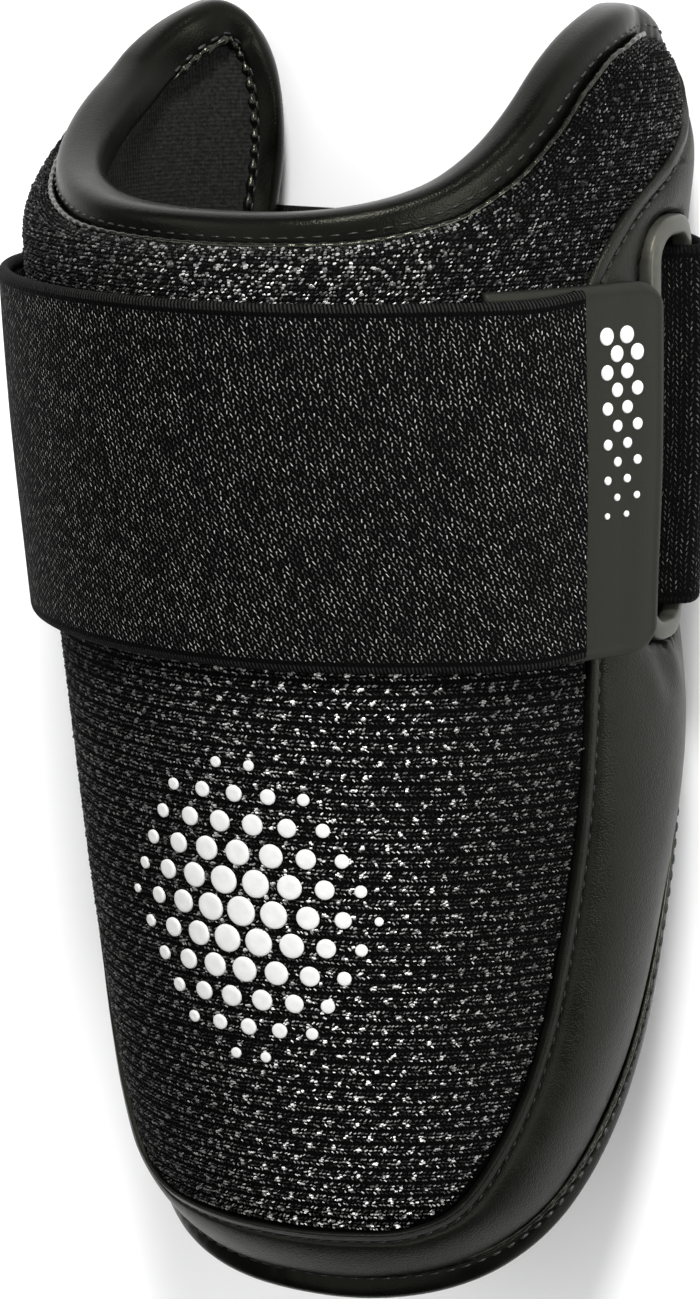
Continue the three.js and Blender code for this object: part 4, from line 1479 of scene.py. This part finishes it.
def elastic_band():
    """The band: its thickness thins to round selvedges, with a bead, a groove and a hem line along
    each, and a groove is pressed across its end under the tab."""
    edge = np.minimum(strap_shares, 1 - strap_shares) * STRAP_WIDTH
    into_round = np.clip(1 - edge / SELVEDGE_ROUND, 0, SELVEDGE_THIN)
    half = STRAP_THICK / 2 * np.sqrt(1 - into_round ** 2)
    hem = sum(ridge(edge, *line) for line in HEM_LINES)
    pressed = ridge(STRAP_FLAT_LENGTH - strap_length, *END_LINE)
    top = strap_middle + strap_out * ((half + hem)[None] + pressed)[..., None] / 1000
    under = strap_middle - strap_out * half[None, :, None] / 1000
    points, faces = slab(top, under)
    uv = np.stack(np.broadcast_arrays(strap_length, strap_shares * STRAP_WIDTH), -1).reshape(-1, 2)
    return add_piece("elastic_band", points, faces, ELASTIC, np.concatenate([uv, uv]))


# The free end's overlock: height over the band's middle, pitch and start of its stitches, how far
# in they lie, their slant, their half length, half width and height, and the sewn row beside it
OVERLOCK_HEIGHT = 0.9
OVERLOCK_PITCH = 1.25
OVERLOCK_START = 0.6
OVERLOCK_INSET = 0.7
OVERLOCK_SLANT = 0.35
OVERLOCK_STITCH = (1.25, 0.5, 0.5)
END_STEPS = 7
END_ROW_INSET = 3.1
END_ROW_RISE = 0.1


def band_stitches():
    """The overlock of the strap's free end, over its cut edge, and a sewn row beside it."""
    face = strap_out[-1]
    last = strap_middle[-1] + face * OVERLOCK_HEIGHT / 1000
    inward = unit(strap_middle[-1 - END_STEPS] - strap_middle[-1])
    numbers = even_steps(last, OVERLOCK_PITCH, OVERLOCK_START)
    way_in = along_line(inward, numbers)
    centre = along_line(last, numbers) + way_in * OVERLOCK_INSET / 1000
    lean = way_in + np.array([0.0, OVERLOCK_SLANT, 0.0])
    over = mounds(centre, lean, along_line(face, numbers), *OVERLOCK_STITCH)
    chain = last + inward * END_ROW_INSET / 1000 + face * END_ROW_RISE / 1000
    return [over, stitch_row(chain, face, *BAND_STITCH)]


# The pull tab
TAB_ROWS = 40
TAB_CORNER_ROWS = 12
# Rows beside the border and where the even rows stop short of it, in millimetres
NEAR_BORDER = np.array([0, 0.1, 0.3, 0.6, 0.9, 1.2, 1.5, 1.9, 2.4])
TAB_EVEN_END = 8
TAB_CORNER_RUN = (7.5, 2.8)
TAB_SIDE_START = 3.2
# The border's share of the thickness and how far its round reaches, and the low rim's line
BORDER_SHARE = 0.35
BORDER_ROUND = 0.7
RIM_LINE = (1.3, 0.18, 0.45)
WHOLE_CORNER = 0.9999


def rubber_tab():
    """The tab: a thin plate with two round corners, a rounded border and a low rim inside it."""
    middle_y = (TAB_LOW_Y + TAB_HIGH_Y) / 2
    half_y = (TAB_HIGH_Y - TAB_LOW_Y) / 2
    degree = float(degree_length(np.float64(TAB_END), middle_y))
    length = (TAB_END - TAB_START) * degree
    width = 2 * half_y
    u = np.concatenate([
        np.linspace(0, length - TAB_EVEN_END, TAB_ROWS),
        length - np.linspace(*TAB_CORNER_RUN, TAB_CORNER_ROWS),
        length - NEAR_BORDER[::-1],
    ])
    v = np.concatenate([
        NEAR_BORDER,
        np.linspace(TAB_SIDE_START, width - TAB_SIDE_START, TAB_ROWS),
        width - NEAR_BORDER[::-1],
    ]) / half_y - 1
    past = np.clip((u - (length - TAB_CORNER)) / TAB_CORNER, 0, WHOLE_CORNER)
    drop = TAB_CORNER * (1 - np.sqrt(1 - past ** 2))
    y = middle_y + v[None] * (half_y - drop)[:, None]
    phi = np.broadcast_to((TAB_START + u / degree)[:, None], y.shape)
    border = np.minimum(half_y - drop[:, None] - np.abs(y - middle_y), (length - u)[:, None])
    rounded = np.sqrt(1 - np.clip(1 - border / BORDER_ROUND, 0, 1) ** 2)
    thick = TAB_THICK * (BORDER_SHARE + (1 - BORDER_SHARE) * rounded)
    under = tab_under(phi)
    top = under + thick + ridge(border, *RIM_LINE)
    points, faces = slab(shell(phi, y, top), shell(phi, y, under))
    piece = add_piece("rubber_tab", points, faces, RUBBER)
    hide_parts("pull_tab")


# Dots of white film, laid on a face: rings of points as shares of the radius, their heights as
# shares of the film's thickness, and the shorter degrees of the face against the wall's middle
DOT_SIDES = 24
DOT_RINGS = np.array([0.0, 0.5, 0.86, 0.97, 1.0])
DOT_RISE = np.array([1.0, 1.0, 1.0, 0.75, -0.4])
DOT_DEGREE = 0.9
# The front's field: middle as phi and y, pitch of its rows and columns, millimetres to a degree,
# half width and half height of its oval, and how its dots shrink toward the border
FRONT_MIDDLE = (3.0, 77.0)
FRONT_REACH = 5
FRONT_PITCH = 6.2
FRONT_ROW = 0.87
FRONT_DEGREE = 0.95
FRONT_OVAL = (25, 29)
FRONT_RADIUS = 2.75
FRONT_SHRINK = 0.72
FRONT_POWER = 1.6
FRONT_THICK = 0.34
# The tab's field: its top as phi and y, rows and columns, pitch in degrees and in millimetres
TAB_DOTS = (74.5, 178.0)
TAB_DOT_ROWS = 11
TAB_DOT_COLUMNS = 2
TAB_DOT_TURN = 4.1
TAB_DOT_PITCH = 3.1
TAB_DOT_RADIUS = 1.55
TAB_DOT_SHRINK = 0.1
TAB_DOT_THICK = 0.22


def film_dots(name, phi, y, radius, face, thick):
    """Round dots: each is a disc of rings of points laid on a face at its own height, with a
    rounded border that falls to the face."""
    turn = np.linspace(0, 2 * np.pi, DOT_SIDES + 1)[:-1]
    across = radius[:, None, None] * DOT_RINGS[None, :, None] * np.cos(turn)
    up = radius[:, None, None] * DOT_RINGS[None, :, None] * np.sin(turn)
    dot_phi = phi[:, None, None] + across / degree_length(phi, y)[:, None, None] * DOT_DEGREE
    dot_y = y[:, None, None] + up
    rise = (DOT_RISE * thick)[None, :, None]
    points = shell(dot_phi, dot_y, face(dot_phi, dot_y) + rise)
    one = grid_faces(len(DOT_RINGS), DOT_SIDES, 0, False, True)
    faces = one[None] + (np.arange(len(phi)) * len(DOT_RINGS) * DOT_SIDES)[:, None, None]
    add_piece(name, points.reshape(-1, 3), faces.reshape(-1, 4)[:, ::-1], FILM)


def row_and_column(rows, columns):
    """The row and the column of each place of a grid."""
    return (grid.ravel() for grid in np.meshgrid(rows, columns, indexing="ij"))


def front_dots():
    """A field of dots on the front, in staggered rows inside an oval, smaller toward its border."""
    numbers = np.arange(-FRONT_REACH, FRONT_REACH + 1)
    row, column = row_and_column(numbers, numbers)
    across = (column + 0.5 * (row % 2)) * FRONT_PITCH
    up = row * FRONT_PITCH * FRONT_ROW
    reach = np.hypot(across / FRONT_OVAL[0], up / FRONT_OVAL[1])
    keep = reach < 1
    radius = FRONT_RADIUS * (1 - FRONT_SHRINK * reach[keep] ** FRONT_POWER)
    phi = FRONT_MIDDLE[0] + across[keep] / FRONT_DEGREE
    y = FRONT_MIDDLE[1] + up[keep]
    film_dots("front_dots", phi, y, radius, mesh_face, FRONT_THICK)


def tab_dots():
    """A slim field of dots on the tab, in staggered rows, larger at the top."""
    row, column = row_and_column(np.arange(TAB_DOT_ROWS), np.arange(TAB_DOT_COLUMNS))
    radius = TAB_DOT_RADIUS - TAB_DOT_SHRINK * row
    phi = TAB_DOTS[0] + (column - 0.75 + 0.5 * (row % 2)) * TAB_DOT_TURN
    y = TAB_DOTS[1] - row * TAB_DOT_PITCH

    def face(dot_phi, dot_y):
        return tab_under(dot_phi) + TAB_THICK

    film_dots("tab_dots", phi, y, radius, face, TAB_DOT_THICK)


mesh_pad()
knit_loops("knit_loops_toe", KNIT_START_Y, KNIT_SPLIT_Y, OPEN_LINES, OPEN_CLUSTER)
knit_loops("knit_loops_low", KNIT_SPLIT_Y, KNIT_STRAP_LOW_Y, OPEN_LINES, OPEN_CLUSTER)
knit_loops("knit_loops_high", KNIT_STRAP_HIGH_Y, KNIT_END_Y, CLOSE_LINES, CLOSE_CLUSTER)
knit_rim()
leather_pad()
edge_roll()
seam_piping()
lining_pad()
loop_ring()
band = elastic_band()
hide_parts("elastic_strap")
rubber_tab()
front_dots()
tab_dots()
threads = add_piece("seam_threads", *joined(seam_stitches() + roll_stitches()), THREAD)
overlock = add_piece("band_overlock", *joined(band_stitches()), THREAD)

# The floor, the lights and the camera
FLOOR_REACH = 6.0


def pale_floor():
    """A plain pale floor under the guard."""
    corner = np.array([[-1, -1, 0], [1, -1, 0], [1, 1, 0], [-1, 1, 0]]) * FLOOR_REACH
    pale = (0.92, 0.92, 0.92, 1)
    finish = Finish("pale_floor", specular_ior_level=0.1, roughness=0.9, base_color=pale)
    mesh = bpy.data.meshes.new("floor")
    mesh.from_pydata(corner.tolist(), [], [(0, 1, 2, 3)])
    mesh.materials.append(finish.material)
    floor = bpy.data.objects.new("floor", mesh)
    bpy.context.collection.objects.link(floor)


# The photograph's camera: turn and rise, distance and target in metres, and the image's scale
VIEW_TURN = np.radians(31.0)
VIEW_RISE = np.radians(11.5)
VIEW_DISTANCE = 0.760
VIEW_TARGET = np.array([0.0019, -0.00016, 0.0410])
PIXELS_PER_METRE = 5500.0
IMAGE_HEIGHT = 1299
SENSOR = 36.0
NEAREST = 0.01
view_back = np.array([
    np.cos(VIEW_RISE) * np.sin(VIEW_TURN),
    np.sin(VIEW_RISE),
    np.cos(VIEW_RISE) * np.cos(VIEW_TURN),
])
view_right = np.array([np.cos(VIEW_TURN), 0, -np.sin(VIEW_TURN)])
view_up = np.cross(view_back, view_right)


def photo_camera():
    """The camera at the photograph's angle: the lens is the sensor's height times the distance
    times the pixels to the metre, over the image's height."""
    data = bpy.data.cameras.new("camera")
    data.sensor_width = SENSOR
    data.lens = SENSOR * PIXELS_PER_METRE * VIEW_DISTANCE / IMAGE_HEIGHT
    data.clip_start = NEAREST
    camera = bpy.data.objects.new("camera", data)
    bpy.context.collection.objects.link(camera)
    place = VIEW_TARGET + VIEW_DISTANCE * view_back
    turn = np.eye(4)
    turn[:3, :3] = np.column_stack([view_right, view_up, view_back])
    turn[:3, 3] = place
    camera.matrix_world = Matrix(turn.tolist())
    bpy.context.scene.camera = camera


def soft_box(name, place, size, power):
    """A square area light aimed at the guard."""
    data = bpy.data.lights.new(name, "AREA")
    data.size = size
    data.energy = power
    light = bpy.data.objects.new(name, data)
    bpy.context.collection.objects.link(light)
    light.location = Vector(place)
    light.rotation_euler = Vector(place).to_track_quat("Z", "Y").to_euler()


# From how far toward the toe to how far toward the scooped end the sky grows lighter
SKY_RUN = (-0.6, 0.9)


def studio_sky(dark, light):
    """An even sky that is lighter beyond the scooped end than beyond the toe."""
    world = bpy.data.worlds.new("studio")
    world.use_nodes = True
    tree = world.node_tree
    ways = tree.nodes.new("ShaderNodeTexCoord")
    split = tree.nodes.new("ShaderNodeSeparateXYZ")
    tree.links.new(ways.outputs["Generated"], split.inputs[0])
    strength = Wire(tree, split.outputs[1]).between(*SKY_RUN, dark, light)
    tree.links.new(strength.socket, tree.nodes["Background"].inputs["Strength"])
    tree.nodes["Background"].inputs["Color"].default_value = (1, 1, 1, 1)
    bpy.context.scene.world = world


pale_floor()
photo_camera()
soft_box("key_light", place=(0.62, 1.5, 1.2), size=0.36, power=48)
soft_box("top_light", place=(0.0, 0.1, 2.4), size=3.2, power=44)
soft_box("right_light", place=(1.6, 0.3, 0.6), size=0.8, power=22)
soft_box("left_light", place=(-1.2, 0.8, 1.4), size=1.0, power=8)
studio_sky(dark=0.05, light=0.2)
bpy.context.scene.view_settings.view_transform = "Standard"
